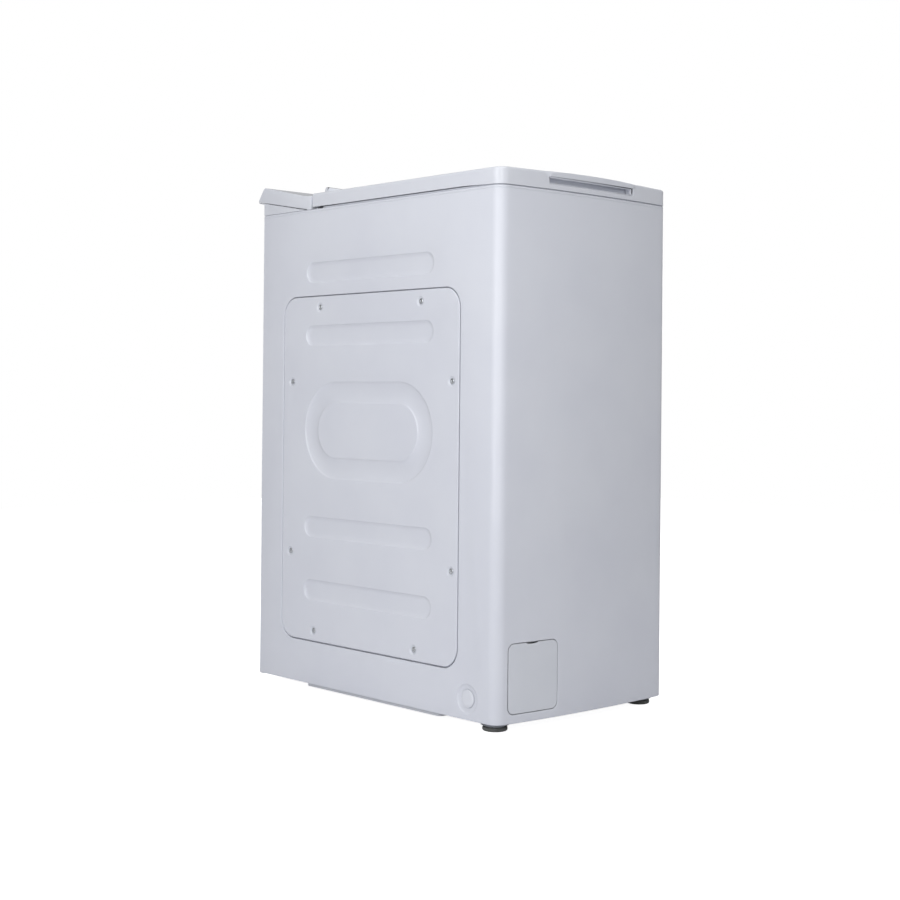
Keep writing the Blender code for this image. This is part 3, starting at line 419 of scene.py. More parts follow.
# A loop of points: four straight sides joined by quarter circles.
def roundRect(low, high, radius, arc=10):
    low, high = np.asarray(low, float), np.asarray(high, float)
    corners = ((high[0] - radius, high[1] - radius, 0), (low[0] + radius, high[1] - radius, 90),
               (low[0] + radius, low[1] + radius, 180), (high[0] - radius, low[1] + radius, 270))
    loop = []
    for u, v, start in corners:
        turn = np.radians(np.linspace(start, start + 90, arc + 1))
        loop.append(np.column_stack([u + radius * np.cos(turn), v + radius * np.sin(turn)]))
    return np.concatenate(loop)


# Distance outside a rectangle with round corners, negative inside it.
def rectDistance(u, v, low, high, radius):
    middle = (np.asarray(low) + np.asarray(high)) / 2
    half = (np.asarray(high) - np.asarray(low)) / 2 - radius
    du, dv = np.abs(u - middle[0]) - half[0], np.abs(v - middle[1]) - half[1]
    return np.hypot(np.maximum(du, 0), np.maximum(dv, 0)) + np.minimum(np.maximum(du, dv), 0) - radius


# Depth of a pressing: depth * (0.3 f(7 t) + 0.7 f(t)), with f(t) = 1 - (1 - t)^2 and t the rounded way in
# over the width of its slope.
def pressed(distance, depth, width, lip=0.0005):
    inward = (np.sqrt(distance ** 2 + lip ** 2) - distance) / 2
    t, quick = np.clip(inward / width, 0, 1), np.clip(7 * inward / width, 0, 1)
    return depth * (0.3 * (1 - (1 - quick) ** 2) + 0.7 * (1 - (1 - t) ** 2))


# True where a ray along +u from (u, v) crosses the closed loop an odd number of times.
def insideLoop(u, v, loop):
    a, b = np.asarray(loop), np.roll(loop, -1, 0)
    spans = (a[:, 1] > v[:, None]) != (b[:, 1] > v[:, None])
    rise = np.where(b[:, 1] == a[:, 1], 1.0, b[:, 1] - a[:, 1])
    cross = a[:, 0] + (v[:, None] - a[:, 1]) * (b[:, 0] - a[:, 0]) / rise
    return (spans & (u[:, None] < cross)).sum(axis=1) % 2 == 1


# Triangles over flat (u, v) points, with every loop and line kept as edges, where keep(u, v) holds.
def spanSheet(loops, lines, keep, scatter=None):
    points, edges, start = [], [], 0
    for path, isLoop in [(loop, True) for loop in loops] + [(line, False) for line in lines]:
        count = len(path)
        points.append(np.asarray(path, float))
        edges += [(start + k, start + k + 1) for k in range(count - 1)]
        if isLoop:
            edges.append((start + count - 1, start))
        start += count
    if scatter is not None:
        points.append(np.asarray(scatter, float))
    flat = np.concatenate(points)
    found = delaunay_2d_cdt([Vector(p) for p in flat], edges, [], 0, 1e-7, False)
    uv = np.array([tuple(p) for p in found[0]])
    triangles = np.array([list(face) for face in found[2]])
    corner = uv[triangles]
    area = np.cross(corner[:, 1] - corner[:, 0], corner[:, 2] - corner[:, 0])
    triangles[area < 0] = triangles[area < 0][:, ::-1]
    middle = corner.mean(axis=1)
    triangles = triangles[keep(middle[:, 0], middle[:, 1]) & (np.abs(area) > 1e-12)]
    used, fresh = np.unique(triangles, return_inverse=True)
    return uv[used], fresh.reshape(-1, 3)


# the machine's outline from above

wrapLow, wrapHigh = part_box("cabinet_wrap")
lidLow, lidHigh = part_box("lid_cover")
halfWidth = wrapHigh.x
bow = 0.010          # how far the front swells
cornerRadius = 0.0205
bigRadius = (halfWidth ** 2 + bow ** 2) / (2 * bow)
bigY = wrapLow.y + bigRadius
cornerX = halfWidth - cornerRadius
cornerY = bigY - math.sqrt((bigRadius - cornerRadius) ** 2 - cornerX ** 2)
bowAngle = math.atan2(cornerX, bigY - cornerY)


# Lengths at which the outline changes: bow, front corner, side, rear corner, rear line.
def makePlan(rear, rearRadius):
    bowEnd = bigRadius * bowAngle
    cornerEnd = bowEnd + cornerRadius * (math.pi / 2 - bowAngle)
    sideEnd = cornerEnd + rear - rearRadius - cornerY
    rearEnd = sideEnd + rearRadius * math.pi / 2
    return {"rear": rear, "rearRadius": rearRadius, "bowEnd": bowEnd, "cornerEnd": cornerEnd,
            "sideEnd": sideEnd, "rearEnd": rearEnd, "end": rearEnd + halfWidth - rearRadius}


# Point and outward direction at length s from the front's middle: arcs of radius R about their centres.
def planAt(plan, s, inset=0.0):
    s = np.asarray(s, float)
    a, hand = np.abs(s), np.where(s < 0, -1.0, 1.0)
    rear, small = plan["rear"], plan["rearRadius"]
    parts = [a <= plan["bowEnd"], a <= plan["cornerEnd"], a <= plan["sideEnd"], a <= plan["rearEnd"]]
    turn = np.select(parts, [a / bigRadius, bowAngle + (a - plan["bowEnd"]) / cornerRadius, np.pi / 2 + 0 * a,
                             np.pi / 2 + (a - plan["sideEnd"]) / small], np.pi)
    nx, ny = np.sin(turn), -np.cos(turn)
    x = np.select(parts, [bigRadius * nx, cornerX + cornerRadius * nx, halfWidth + 0 * a,
                          halfWidth - small + small * nx], halfWidth - small - (a - plan["rearEnd"]))
    y = np.select(parts, [bigY + bigRadius * ny, cornerY + cornerRadius * ny, cornerY + a - plan["cornerEnd"],
                          rear - small + small * ny], rear)
    return hand * (x - inset * nx), y - inset * ny, hand * nx, ny


# Lengths where the outline needs a point: every few degrees round its arcs.
def planLines(plan, corner=12, bowed=20, rearCorner=4, rearLine=2):
    parts = [np.linspace(0, plan["bowEnd"], bowed), np.linspace(plan["bowEnd"], plan["cornerEnd"], corner),
             np.linspace(plan["cornerEnd"], plan["sideEnd"], 8),
             np.linspace(plan["sideEnd"], plan["rearEnd"], rearCorner + 1),
             np.linspace(plan["rearEnd"], plan["end"], rearLine + 1)]
    right = np.unique(np.round(np.concatenate(parts), 9))
    return np.concatenate([-right[:0:-1], right])


# Length along the outline, on the left side, at depth y.
def sideLength(plan, y):
    return -(plan["cornerEnd"] + np.asarray(y, float) - cornerY)


cabinetPlan = makePlan(wrapHigh.y, 0.0015)
lidPlan = makePlan(lidHigh.y, 0.004)

# pressings of the left side

coverLow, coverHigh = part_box("service_cover")
coverOutline = {"low": (coverLow.y, coverLow.z), "high": (coverHigh.y, coverHigh.z), "radius": 0.035}
ribs = {"y": (-0.1625, 0.1750), "z": (0.7372, 0.6262, 0.2905, 0.1795), "height": 0.0355, "depth": 0.0035,
        "slope": 0.0075}
raceTrack = {"z": 0.4610, "height": 0.168, "wall": 0.0365, "slope": 0.017}
rimOffsets = np.array([1.6, 0.9, 0.45, 0.15, -0.15, -0.5, -1.0, -1.8, -2.8, -4.0, -5.6, -7.5]) / 1000
screwBoxes = [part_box(f"service_cover_screw_{n}") for n in range(1, 9)]
screwSpots = [(low + high) / 2 for low, high in screwBoxes]


def ribRect(z, height=None):
    half = (height or ribs["height"]) / 2
    return (ribs["y"][0], z - half), (ribs["y"][1], z + half), half


def grown(rect, grow):
    low, high, radius = rect
    return (low[0] - grow, low[1] - grow), (high[0] + grow, high[1] + grow), radius + grow


# The same rectangle drawn in by a distance, its corner radius kept above a tenth of a millimetre.
def shrunk(rect, by):
    low, high, radius = rect
    return (low[0] + by, low[1] + by), (high[0] - by, high[1] - by), max(radius - by, 0.0001)


# Level rings one above another: at each (height, inset) the rectangle is drawn in by the inset.
def levelRings(rect, steps, arc):
    rings = []
    for height, inset in steps:
        loop = roundRect(*shrunk(rect, inset), arc)
        rings.append(np.column_stack([loop, np.full(len(loop), height)]))
    return rings


def ringLoops(rect, offsets, arc=14):
    return [roundRect(*grown(rect, offset), arc) for offset in offsets]


def circleLoop(centre, radius, steps=40):
    turn = np.linspace(0, 2 * np.pi, steps, endpoint=False)
    return np.column_stack([centre[0] + radius * np.cos(turn), centre[1] + radius * np.sin(turn)])


cabinet = {
    "sheet": 0.0012,
    "hem": 0.0016,             # radius of the folded top and bottom edges
    "flange": 0.009,           # width of those folds
    "rearReturn": 0.018,       # how far the sheet turns in behind
    "fold": 0.00035, "foldDrop": 0.0048, "foldHalf": 0.0008,   # line below its top
    "moat": 0.0060,            # depth of the gap round the service cover
    "ledge": 0.022,            # width of the seat that the service cover hides
    "dishRadius": 0.0232, "dishDepth": 0.0022, "dishSlope": 0.0042, "plugHole": 0.0115,
    "flapGap": 0.0009,
}
plugLow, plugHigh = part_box("side_plug")
plugSpot = ((plugLow.y + plugHigh.y) / 2, (plugLow.z + plugHigh.z) / 2)
flapLow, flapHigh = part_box("filter_flap")
flapRect = ((flapLow.x, flapLow.z), (flapHigh.x, flapHigh.z), 0.011)


# Height and inset of a sheet whose upper and lower edges turn in through a quarter circle, then run flat.
def hemmed(v, low, high, radius):
    quarter = radius * np.pi / 2
    over, under = v - (high - radius), (low + radius) - v
    past = np.maximum(over, under)
    turn = np.clip(past, 0, quarter) / radius
    inset = np.where(past > 0, radius * (1 - np.cos(turn)) + np.maximum(past - quarter, 0), 0.0)
    rise = radius * np.sin(turn)
    z = np.where(over > 0, high - radius + rise, np.where(under > 0, low + radius - rise, v))
    return z, inset


# A sheet rolled round the outline from above; its depth adds up the moat, the pressings and the fold line.
def makeCabinet():
    plan, low, high, hem = cabinetPlan, wrapLow.z, wrapHigh.z, cabinet["hem"]
    quarter = hem * math.pi / 2
    lowest, highest = low + hem - quarter - cabinet["flange"], high - hem + quarter + cabinet["flange"]
    end = plan["rearEnd"] + cabinet["rearReturn"]
    coverRect = (coverOutline["low"], coverOutline["high"], coverOutline["radius"])
    topRib, flapGap = ribRect(ribs["z"][0]), cabinet["flapGap"]

    def onSide(loop):
        return np.column_stack([sideLength(plan, loop[:, 0]), loop[:, 1]])

    loops = [np.array([(-end, lowest), (end, lowest), (end, highest), (-end, highest)])]
    moatOffsets = np.array([-22, -6, 0.4, 0.55, 0.75, 1.0, 1.3, 3.0]) / 1000
    loops += [onSide(loop) for loop in ringLoops(coverRect, moatOffsets, 18)]
    loops += [onSide(loop) for loop in ringLoops(topRib, rimOffsets)]
    dishSteps = cabinet["dishRadius"] + np.array([1.4, 0.8, 0.4, 0.1, -0.3, -0.8, -1.6, -2.6, -4.0]) / 1000
    loops += [onSide(circleLoop(plugSpot, radius)) for radius in (*dishSteps, cabinet["plugHole"])]
    flapOffsets = np.array([0.9, 1.1, 1.4, 2.0, 4.0]) / 1000
    loops += [flattenFront(loop) for loop in ringLoops(flapRect, flapOffsets, 8)]
    lines = [np.array([(s, lowest), (s, highest)]) for s in planLines(plan) if abs(s) < end]
    levels = []
    for step in np.linspace(0, quarter, 5):
        levels += [low + hem - step, high - hem + step]
    levels += [high - cabinet["foldDrop"] + cabinet["foldHalf"] * share for share in (-1, -0.5, 0, 0.5, 1)]
    lines += [np.array([(-end, level), (end, level)]) for level in levels]

    def distances(s, v):
        y = cornerY - s - plan["cornerEnd"]
        left = s < -plan["cornerEnd"]
        far = np.full(np.shape(s), 1.0)
        cover = np.where(left, rectDistance(y, v, *coverRect), far)
        rib = np.where(left, rectDistance(y, v, *topRib), far)
        plug = np.where(left, np.hypot(y - plugSpot[0], v - plugSpot[1]), far)
        flap = np.where(np.abs(s) < plan["cornerEnd"], rectDistance(planAt(plan, s)[0], v, *flapRect), far)
        return cover, rib, plug, flap

    def keep(s, v):
        cover, rib, plug, flap = distances(s, v)
        return (cover > -cabinet["ledge"]) & (plug > cabinet["plugHole"]) & (flap > flapGap)

    uv, triangles = spanSheet(loops, lines, keep)
    s, v = uv[:, 0], uv[:, 1]
    cover, rib, plug, flap = distances(s, v)
    depth = np.interp(cover, [0.00045, 0.0006, 0.00075, 0.0010, 0.0013],
                      [cabinet["moat"], 0.0010, 0.0004, 0.0001, 0.0])
    depth += pressed(rib, ribs["depth"], ribs["slope"])
    depth += pressed(plug - cabinet["dishRadius"], cabinet["dishDepth"], cabinet["dishSlope"])
    depth += np.interp(flap, [flapGap, 0.0011, 0.0014, 0.0020], [0.0011, 0.0005, 0.00015, 0.0])
    toFold = (v - high + cabinet["foldDrop"]) / cabinet["foldHalf"]
    depth += cabinet["fold"] * np.clip(1 - toFold ** 2, 0, 1)
    z, inset = hemmed(v, low, high, hem)
    x, y = planAt(plan, s, inset + depth)[:2]
    piece = addPiece("cabinet_shell", np.column_stack([x, y, z]), triangles, "coatedSteel", "cabinet",
                     "enamelled_steel", ["cabinet_wrap"], 50)
    solidify(piece, cabinet["sheet"])


# (x, z) points on the bowed front, unrolled to (length along the outline, z).
def flattenFront(loop):
    return np.column_stack([bigRadius * np.arcsin(np.clip(loop[:, 0] / bigRadius, -1, 1)), loop[:, 1]])


serviceCover = {
    "sheet": 0.0007,
    "shift": (0.0006, 0.0003),  # rearward and up, so the gap round it is widest in front
    "edge": 0.0022,             # radius of its rolled edge
    "gap": 0.0010,              # how far it stays inside its outline
    "screwHole": 0.0021,
    "dimple": 0.0076, "dimpleDepth": 0.0022, "dimpleSlope": 0.0024, "dimpleLip": 0.0003,
}


# A flat sheet whose depth adds up its rolled edge, three ribs, the racetrack's ring and a dimple for each
# screw.
def makeServiceCover():
    shift, edge, gap, hole = (serviceCover[key] for key in ("shift", "edge", "gap", "screwHole"))
    rect = (np.add(coverOutline["low"], shift), np.add(coverOutline["high"], shift), coverOutline["radius"])
    rims = [ribRect(z) for z in ribs["z"][1:]]
    track = ribRect(raceTrack["z"], raceTrack["height"])
    island = grown(track, -raceTrack["wall"])
    turn = np.radians((0, 20, 40, 60, 90))
    loops = ringLoops(rect, -gap - edge * np.array([*np.sin(turn), 1.4, 2.4]), 18)
    for rim in rims:
        loops += ringLoops(rim, rimOffsets)
    trackOffsets = np.array([1.6, 0.9, 0.45, 0.15, -0.15, -0.5, -1.0, -1.8, -3.0, -5.0, -7.5, -10.5, -14,
                             -18.2])
    loops += ringLoops(track, trackOffsets / 1000, 26)
    loops += ringLoops(island, -trackOffsets / 1000, 26)
    circles = (hole, 0.0046, 0.0054, 0.0062, 0.0068, 0.0073, 0.0077, 0.0083, 0.0091, 0.0102, 0.0120)
    for spot in screwSpots:
        loops += [circleLoop((spot.y, spot.z), radius, 28) for radius in circles]
    loops = [np.column_stack([-loop[:, 0], loop[:, 1]]) for loop in loops]

    def keep(u, v):
        inside = rectDistance(-u, v, *rect) < -gap
        for spot in screwSpots:
            inside &= np.hypot(-u - spot.y, v - spot.z) > hole
        return inside

    uv, triangles = spanSheet(loops, [], keep)
    y, z = -uv[:, 0], uv[:, 1]
    fromEdge = np.clip(-gap - rectDistance(y, z, *rect), 0, edge)
    depth = edge - np.sqrt(np.maximum(edge ** 2 - (edge - fromEdge) ** 2, 0))
    for rim in rims:
        depth += pressed(rectDistance(y, z, *rim), ribs["depth"], ribs["slope"])
    outer, inner = rectDistance(y, z, *track), -rectDistance(y, z, *island)
    depth += pressed(np.maximum(outer, inner), ribs["depth"], raceTrack["slope"])
    for spot in screwSpots:
        depth += pressed(np.hypot(y - spot.y, z - spot.z) - serviceCover["dimple"],
                         serviceCover["dimpleDepth"], serviceCover["dimpleSlope"], serviceCover["dimpleLip"])
    piece = addPiece("service_panel", np.column_stack([coverLow.x + depth, y, z]), triangles, "coatedSteel",
                     "cabinet", "enamelled_steel", ["service_cover"], 50)
    solidify(piece, serviceCover["sheet"])


makeCabinet()
makeServiceCover()
print("cabinet and service cover made")

# lid

lid = {
    "wall": 0.0022,
    "edge": 0.0040,         # radius of its upper edges
    "crown": 0.0016,        # how far the top swells at its middle
    "relief": 0.0025,       # the side skirts stand this much higher than the front one
    "rearRound": 0.0060,    # radius of the skirt's lower rear corners
    "recessLow": (-0.0980, 0.8580), "recessHigh": (0.1025, 0.8695), "recessRadius": 0.0030,
    "recessDepth": (0.0130, 0.0170),    # at its foot and at its roof
    "recessSteps": ((0.0, 0.0), (0.0003, 0.12), (0.0006, 0.45), (0.0009, 0.80), (0.0014, 0.94), (0.0022, 1.0),
                    (0.0036, 1.0), (0.0050, 1.0)),      # drawn in by, share of the depth
    "fillet": 0.0010,       # depth of the rounding round the recess
    "undercut": 0.0036,     # how far the recess rises behind the lip
    "brow": 0.0013,         # how far the front edge swells above the recess
    "lip": 0.0019,          # how far the grip's lip stands ahead of the bow at its ends
    "slotX": 0.157, "slotHalf": 0.0034, "slotTop": 0.8751, "pin": (0.1550, 0.8700),
}
lidRecess = (lid["recessLow"], lid["recessHigh"], lid["recessRadius"])


# Height of the crown: crown * (1 - (x / half width)^2).
def crownAt(x):
    return lid["crown"] * (1 - (x / halfWidth) ** 2)


def smoothStep(value, low, high):
    t = np.clip((value - low) / (high - low), 0, 1)
    return t * t * (3 - 2 * t)


# Swell above the recess: brow * a bell across it, fading to nothing 30 mm behind the front.
def browAt(x, y):
    middle = (lid["recessLow"][0] + lid["recessHigh"][0]) / 2
    half = (lid["recessHigh"][0] - lid["recessLow"][0]) / 2 + 0.004
    across = np.clip(1 - ((x - middle) / half) ** 2, 0, 1)
    return lid["brow"] * across * (1 - smoothStep(y, lidLow.y + 0.004, lidLow.y + 0.034))


# A point of the skirt: along the outline by s, up by v, inwards by depth; the top edge is a quarter circle.
def lidPoint(s, v, depth):
    low, high, edge = lidLow.z, lidHigh.z, lid["edge"]
    turn = np.clip((v - (high - edge)) / edge, 0, np.pi / 2)
    inset = edge * (1 - np.cos(turn)) + depth
    z = np.where(turn > 0, high - edge + edge * np.sin(turn), v)
    x, y, _, ny = planAt(lidPlan, s, inset)
    side = smoothStep(y, lidLow.y + 0.036, lidLow.y + 0.046) * smoothStep(np.abs(x), 0.180, 0.192)
    past = np.clip(y - (lidHigh.y - lid["rearRound"]), 0, lid["rearRound"]) * smoothStep(np.abs(x), 0.180,
                                                                                         0.192)
    corner = lid["rearRound"] - np.sqrt(lid["rearRound"] ** 2 - past ** 2)
    z = z + (lid["relief"] * side + corner) * np.clip(1 - (v - low) / 0.014, 0, 1)
    z = z + crownAt(x) * smoothStep(v, low, high - edge)
    z = z + browAt(x, y) * smoothStep(v, lid["recessHigh"][1], high - edge)
    inLip = smoothStep(x, lid["recessLow"][0] - 0.0012, lid["recessLow"][0] + 0.0006)
    inLip *= 1 - smoothStep(x, lid["recessHigh"][0] - 0.0006, lid["recessHigh"][0] + 0.0012)
    room = np.clip(y - (lidLow.y + 0.0004), 0, lid["lip"]) * (ny < -0.9)
    y = y - room * inLip * smoothStep(v, lid["recessHigh"][1] - 0.0012, lid["recessHigh"][1] + 0.0002)
    return np.column_stack([x, y, z])


def lidFillet(distance):
    return np.interp(distance, [0, 0.0002, 0.0006, 0.0012], [lid["fillet"], 0.0005, 0.00015, 0.0])


# The skirt and its rounded upper edge, with holes for the recess and the two hinge arms; gives its last row
# too.
def lidSkirt():
    low, high, edge = lidLow.z, lidHigh.z, lid["edge"]
    top = high - edge + edge * math.pi / 2
    seam = lidPlan["end"]
    loops = [np.array([(-seam, low), (seam, low), (seam, top), (-seam, top)])]
    recessOffsets = (0.0024, 0.0012, 0.0006, 0.0002, 0.0)
    loops += [flattenFront(loop) for loop in ringLoops(lidRecess, recessOffsets, 6)]
    lines = [np.array([(s, low), (s, top)]) for s in planLines(lidPlan, bowed=28, rearCorner=6, rearLine=6)]
    levels = [low + 0.0006, low + 0.003, low + 0.007, low + 0.012, *np.linspace(high - edge, top, 7)]
    levels += [lid["recessHigh"][1] + 0.0016, lid["recessHigh"][1] - 0.0016]
    lines += [np.array([(-seam, v), (seam, v)]) for v in levels]
    slots = [hand * (seam - lid["slotX"]) for hand in (-1, 1)]
    for middle in slots:
        near, far = middle - lid["slotHalf"], middle + lid["slotHalf"]
        loops.append(np.array([(near, low), (far, low), (far, lid["slotTop"]), (near, lid["slotTop"])]))

    def toRecess(s, v):
        return np.where(np.abs(s) <= lidPlan["cornerEnd"], rectDistance(planAt(lidPlan, s)[0], v,
                                                                        *lidRecess), 1.0)

    def keep(s, v):
        kept = toRecess(s, v) > 0
        for middle in slots:
            kept &= (np.abs(s - middle) > lid["slotHalf"]) | (v > lid["slotTop"])
        return kept

    uv, triangles = spanSheet(loops, lines, keep)
    s, v = uv[:, 0], uv[:, 1]
    points = lidPoint(s, v, lidFillet(np.maximum(toRecess(s, v), 0)))
    lastRow = uv[np.abs(v - top) < 1e-7]
    return points, triangles, lastRow[np.argsort(lastRow[:, 0])][:-1]


# The crowned top, which continues from the skirt's last row: z = height + crown + brow.
def lidTop(lastRow):
    edgeLoop = lidPoint(lastRow[:, 0], lastRow[:, 1], 0.0)[:, :2]
    loops = [edgeLoop]
    for inset in (0.0056, 0.0080, 0.0115, 0.0165):
        x, y = planAt(lidPlan, lastRow[:, 0], inset)[:2]
        reach = halfWidth - inset
        loops.append(np.column_stack([np.clip(x, -reach, reach), np.minimum(y, lidHigh.y - inset)]))
    netX, netY = np.meshgrid(np.linspace(-0.175, 0.175, 15), np.linspace(-0.285, 0.135, 17))
    net = np.column_stack([netX.ravel(), netY.ravel()])
    flat, triangles = spanSheet(loops, [], lambda u, w: insideLoop(u, w, edgeLoop), net)
    height = lidHigh.z + crownAt(flat[:, 0]) + browAt(flat[:, 0], flat[:, 1])
    return np.column_stack([flat, height]), triangles


# The finger recess: rings drawn in step by step, each pushed inwards by its share of a depth that grows
# towards the roof, and raised behind the lip.
def lidScoop():
    foot, roof = lid["recessLow"][1], lid["recessHigh"][1]
    shallow, deep = lid["recessDepth"]
    rings = []
    for inset, share in lid["recessSteps"]:
        loop = flattenFront(roundRect(*shrunk(lidRecess, inset), 6))
        rise = np.clip((loop[:, 1] - foot) / (roof - foot), 0, 1)
        depth = shallow + (deep - shallow) * rise ** 0.8
        ring = lidPoint(loop[:, 0], loop[:, 1], lid["fillet"] + share * depth)
        ring[:, 2] += lid["undercut"] * share * smoothStep(rise, 0.5, 1.0)
        rings.append(ring)
    points, faces = loftRings(rings, capStart=False)
    return points, [face[::-1] for face in faces]


def makeLid():
    points, triangles, lastRow = lidSkirt()
    piece = addPiece("lid_shell", *joined([(points, triangles), lidTop(lastRow), lidScoop()]), "mouldedAbs",
                     "lid", "white_plastic", ["lid_cover"], 40)
    merge(piece.data)
    solidify(piece, lid["wall"])


def merge(mesh, reach=3e-6):
    work = bmesh.new()
    work.from_mesh(mesh)
    bmesh.ops.remove_doubles(work, verts=work.verts, dist=reach)
    work.to_mesh(mesh)
    work.free()


liner = {
    "low": (-0.128, -0.205), "high": (0.143, 0.118), "radius": 0.035, "wall": 0.0018,
    "frontRoom": 0.0262,    # how far it stays behind the lid's front
    "bulge": 0.0030, "ribs": 5, "ribHeight": 0.0020, "ribHalf": 0.006,
    "striker": ((0.1560, -0.2845), (0.1660, -0.2795), 0.0012),
}


# z = foot - bulge * smooth way in from the rim of a rounded panel, with ribs across it.
def makeLiner():
    low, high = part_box("lid_inner")
    foot = high.z - 0.002
    rect = (liner["low"], liner["high"], liner["radius"])
    outline = []
    for s in planLines(lidPlan, rearCorner=1, rearLine=1):
        x, y = planAt(lidPlan, s, 0.006)[:2]
        outline.append((float(x), min(float(y), high.y)))
    outline = np.array(outline)[:-1]
    front = lidLow.y + liner["frontRoom"]
    loops = [outline] + ringLoops(rect, (0.010, 0.004, 0.0, -0.003, -0.006, -0.010, -0.016), 10)
    lines = [np.array([(-halfWidth, front), (halfWidth, front)])]
    ribX = np.linspace(rect[0][0] + 0.04, rect[1][0] - 0.04, liner["ribs"])
    ribLow, ribHigh = rect[0][1] + 0.03, rect[1][1] - 0.03
    for x in ribX:
        for share in (-1, -0.5, 0, 0.5, 1):
            beside = x + share * liner["ribHalf"]
            lines.append(np.array([(beside, ribLow), (beside, ribHigh)]))
    uv, triangles = spanSheet(loops, lines, lambda x, y: (y > front) & insideLoop(x, y, outline))
    x, y = uv[:, 0], uv[:, 1]
    drop = liner["bulge"] * smoothStep(-rectDistance(x, y, *rect), -0.004, 0.012)
    along = smoothStep(y, ribLow, ribLow + 0.01) * (1 - smoothStep(y, ribHigh - 0.01, ribHigh))
    for middle in ribX:
        drop -= liner["ribHeight"] * along * (1 - smoothStep(np.abs(x - middle), 0.0, liner["ribHalf"]))
    piece = addPiece("lid_liner", np.column_stack([uv, foot - drop]), triangles[:, ::-1], "mouldedAbs", "lid",
                     "white_plastic", ["lid_inner"], 50)
    solidify(piece, liner["wall"])
    striker = roundRect(*liner["striker"], 4)
    tip = striker * 0.97 + 0.03 * striker.mean(axis=0)
    rings = [np.column_stack([loop, np.full(len(loop), foot - down)])
             for loop, down in ((striker, -0.001), (striker, 0.0028), (tip, 0.0032))]
    addPiece("lid_striker", *loftRings(rings), "mouldedAbs", "lid", "white_plastic", (), 40, closed=True)


hingePin = {
    "profile": ((-0.0075, 0.0), (-0.0075, 0.0012), (-0.0072, 0.0016), (0.0072, 0.0016), (0.0075, 0.0012),
                (0.0075, 0.0)),
    "barrel": ((-0.0035, 0.0008), (-0.0035, 0.0016), (-0.0032, 0.0019), (0.0035, 0.0019), (0.0035, 0.0008)),
    "barrelPlace": (0.1938, 0.1500, 0.8500),
}


def makeLidPins():
    x, y, z = hingePin["barrelPlace"]
    for hand, word in ((-1, "left"), (1, "right")):
        turnedPiece(f"lid_pin_{word}", hingePin["profile"], (hand * lid["slotX"], *lid["pin"]), (1, 0, 0), 24,
                    "zincPlate", "lid", "zinc_steel")
        rings = turnedRings(hingePin["barrel"], (hand * x, y, z), (hand, 0, 0), 28)
        addPiece(f"hinge_barrel_{word}", *loftRings(rings, wrapRows=True), "mouldedAbs", "cabinet",
                 "white_plastic", (), 40, closed=True)


makeLid()
makeLiner()
makeLidPins()
print("lid made")

# console

console = {
    "front": 0.1652, "ridge": (0.3034, 0.9002), "slopeFoot": (0.1850, 0.8752), "hook": (0.3240, 0.8763),
    "foot": 0.8497, "rear": 0.3058,
}
slopeFoot, ridge = np.array(console["slopeFoot"]), np.array(console["ridge"])
slopeAlong = (ridge - slopeFoot) / np.linalg.norm(ridge - slopeFoot)
slopeOut = np.array([-slopeAlong[1], slopeAlong[0]])


# World point on the console's slope: slope foot + along * up the slope + height * out of it.
def onSlope(x, along, height=0.0):
    x, along, height = np.broadcast_arrays(np.asarray(x, float), along, height)
    yz = slopeFoot + along[..., None] * slopeAlong + height[..., None] * slopeOut
    return np.concatenate([x[..., None], yz], axis=-1)


# A closed polygon with each corner replaced by an arc that leaves its sides at radius * tan(turn / 2).
def softened(points, radius, steps=5):
    points = np.asarray(points, float)
    out = []
    for before, here, after in zip(np.roll(points, 1, 0), points, np.roll(points, -1, 0)):
        a, b = before - here, after - here
        la, lb = np.linalg.norm(a), np.linalg.norm(b)
        a, b = a / la, b / lb
        half = math.acos(np.clip(a @ b, -1, 1)) / 2
        if half > math.radians(87):
            out.append(here[None])
            continue
        reach = min(radius / math.tan(half), 0.45 * la, 0.45 * lb)
        share = np.linspace(0, 1, steps)[:, None]
        start, end = here + a * reach, here + b * reach
        out.append((1 - share) ** 2 * start + 2 * share * (1 - share) * here + share ** 2 * end)
    return np.concatenate(out)


# Moves a closed loop's points to its inside by a distance, along the mean of the two edge normals.
def drawIn(loop, by):
    ahead, behind = np.roll(loop, -1, 0) - loop, loop - np.roll(loop, 1, 0)
    ahead /= np.linalg.norm(ahead, axis=1)[:, None]
    behind /= np.linalg.norm(behind, axis=1)[:, None]
    tangent = ahead + behind
    tangent /= np.linalg.norm(tangent, axis=1)[:, None]
    twiceArea = np.cross(loop, np.roll(loop, -1, 0)).sum()
    inward = np.column_stack([-tangent[:, 1], tangent[:, 0]]) * np.sign(twiceArea)
    return loop + by * inward


# A side view carried across X, its two end edges rounded through a quarter circle.
def bar(profile, low, high, edge):
    turn = np.radians((90, 67, 45, 22, 0))
    insets = [edge * (1 - math.cos(t)) for t in turn]
    places = [edge * (1 - math.sin(t)) for t in turn]
    stations = [(low + p, i) for p, i in zip(places, insets)]
    stations += [(high - p, i) for p, i in zip(places[::-1], insets[::-1])]
    rings = []
    for x, inset in stations:
        loop = drawIn(profile, inset) if inset > 1e-9 else profile
        rings.append(np.insert(loop, 0, x, axis=1))
    return loftRings(rings)


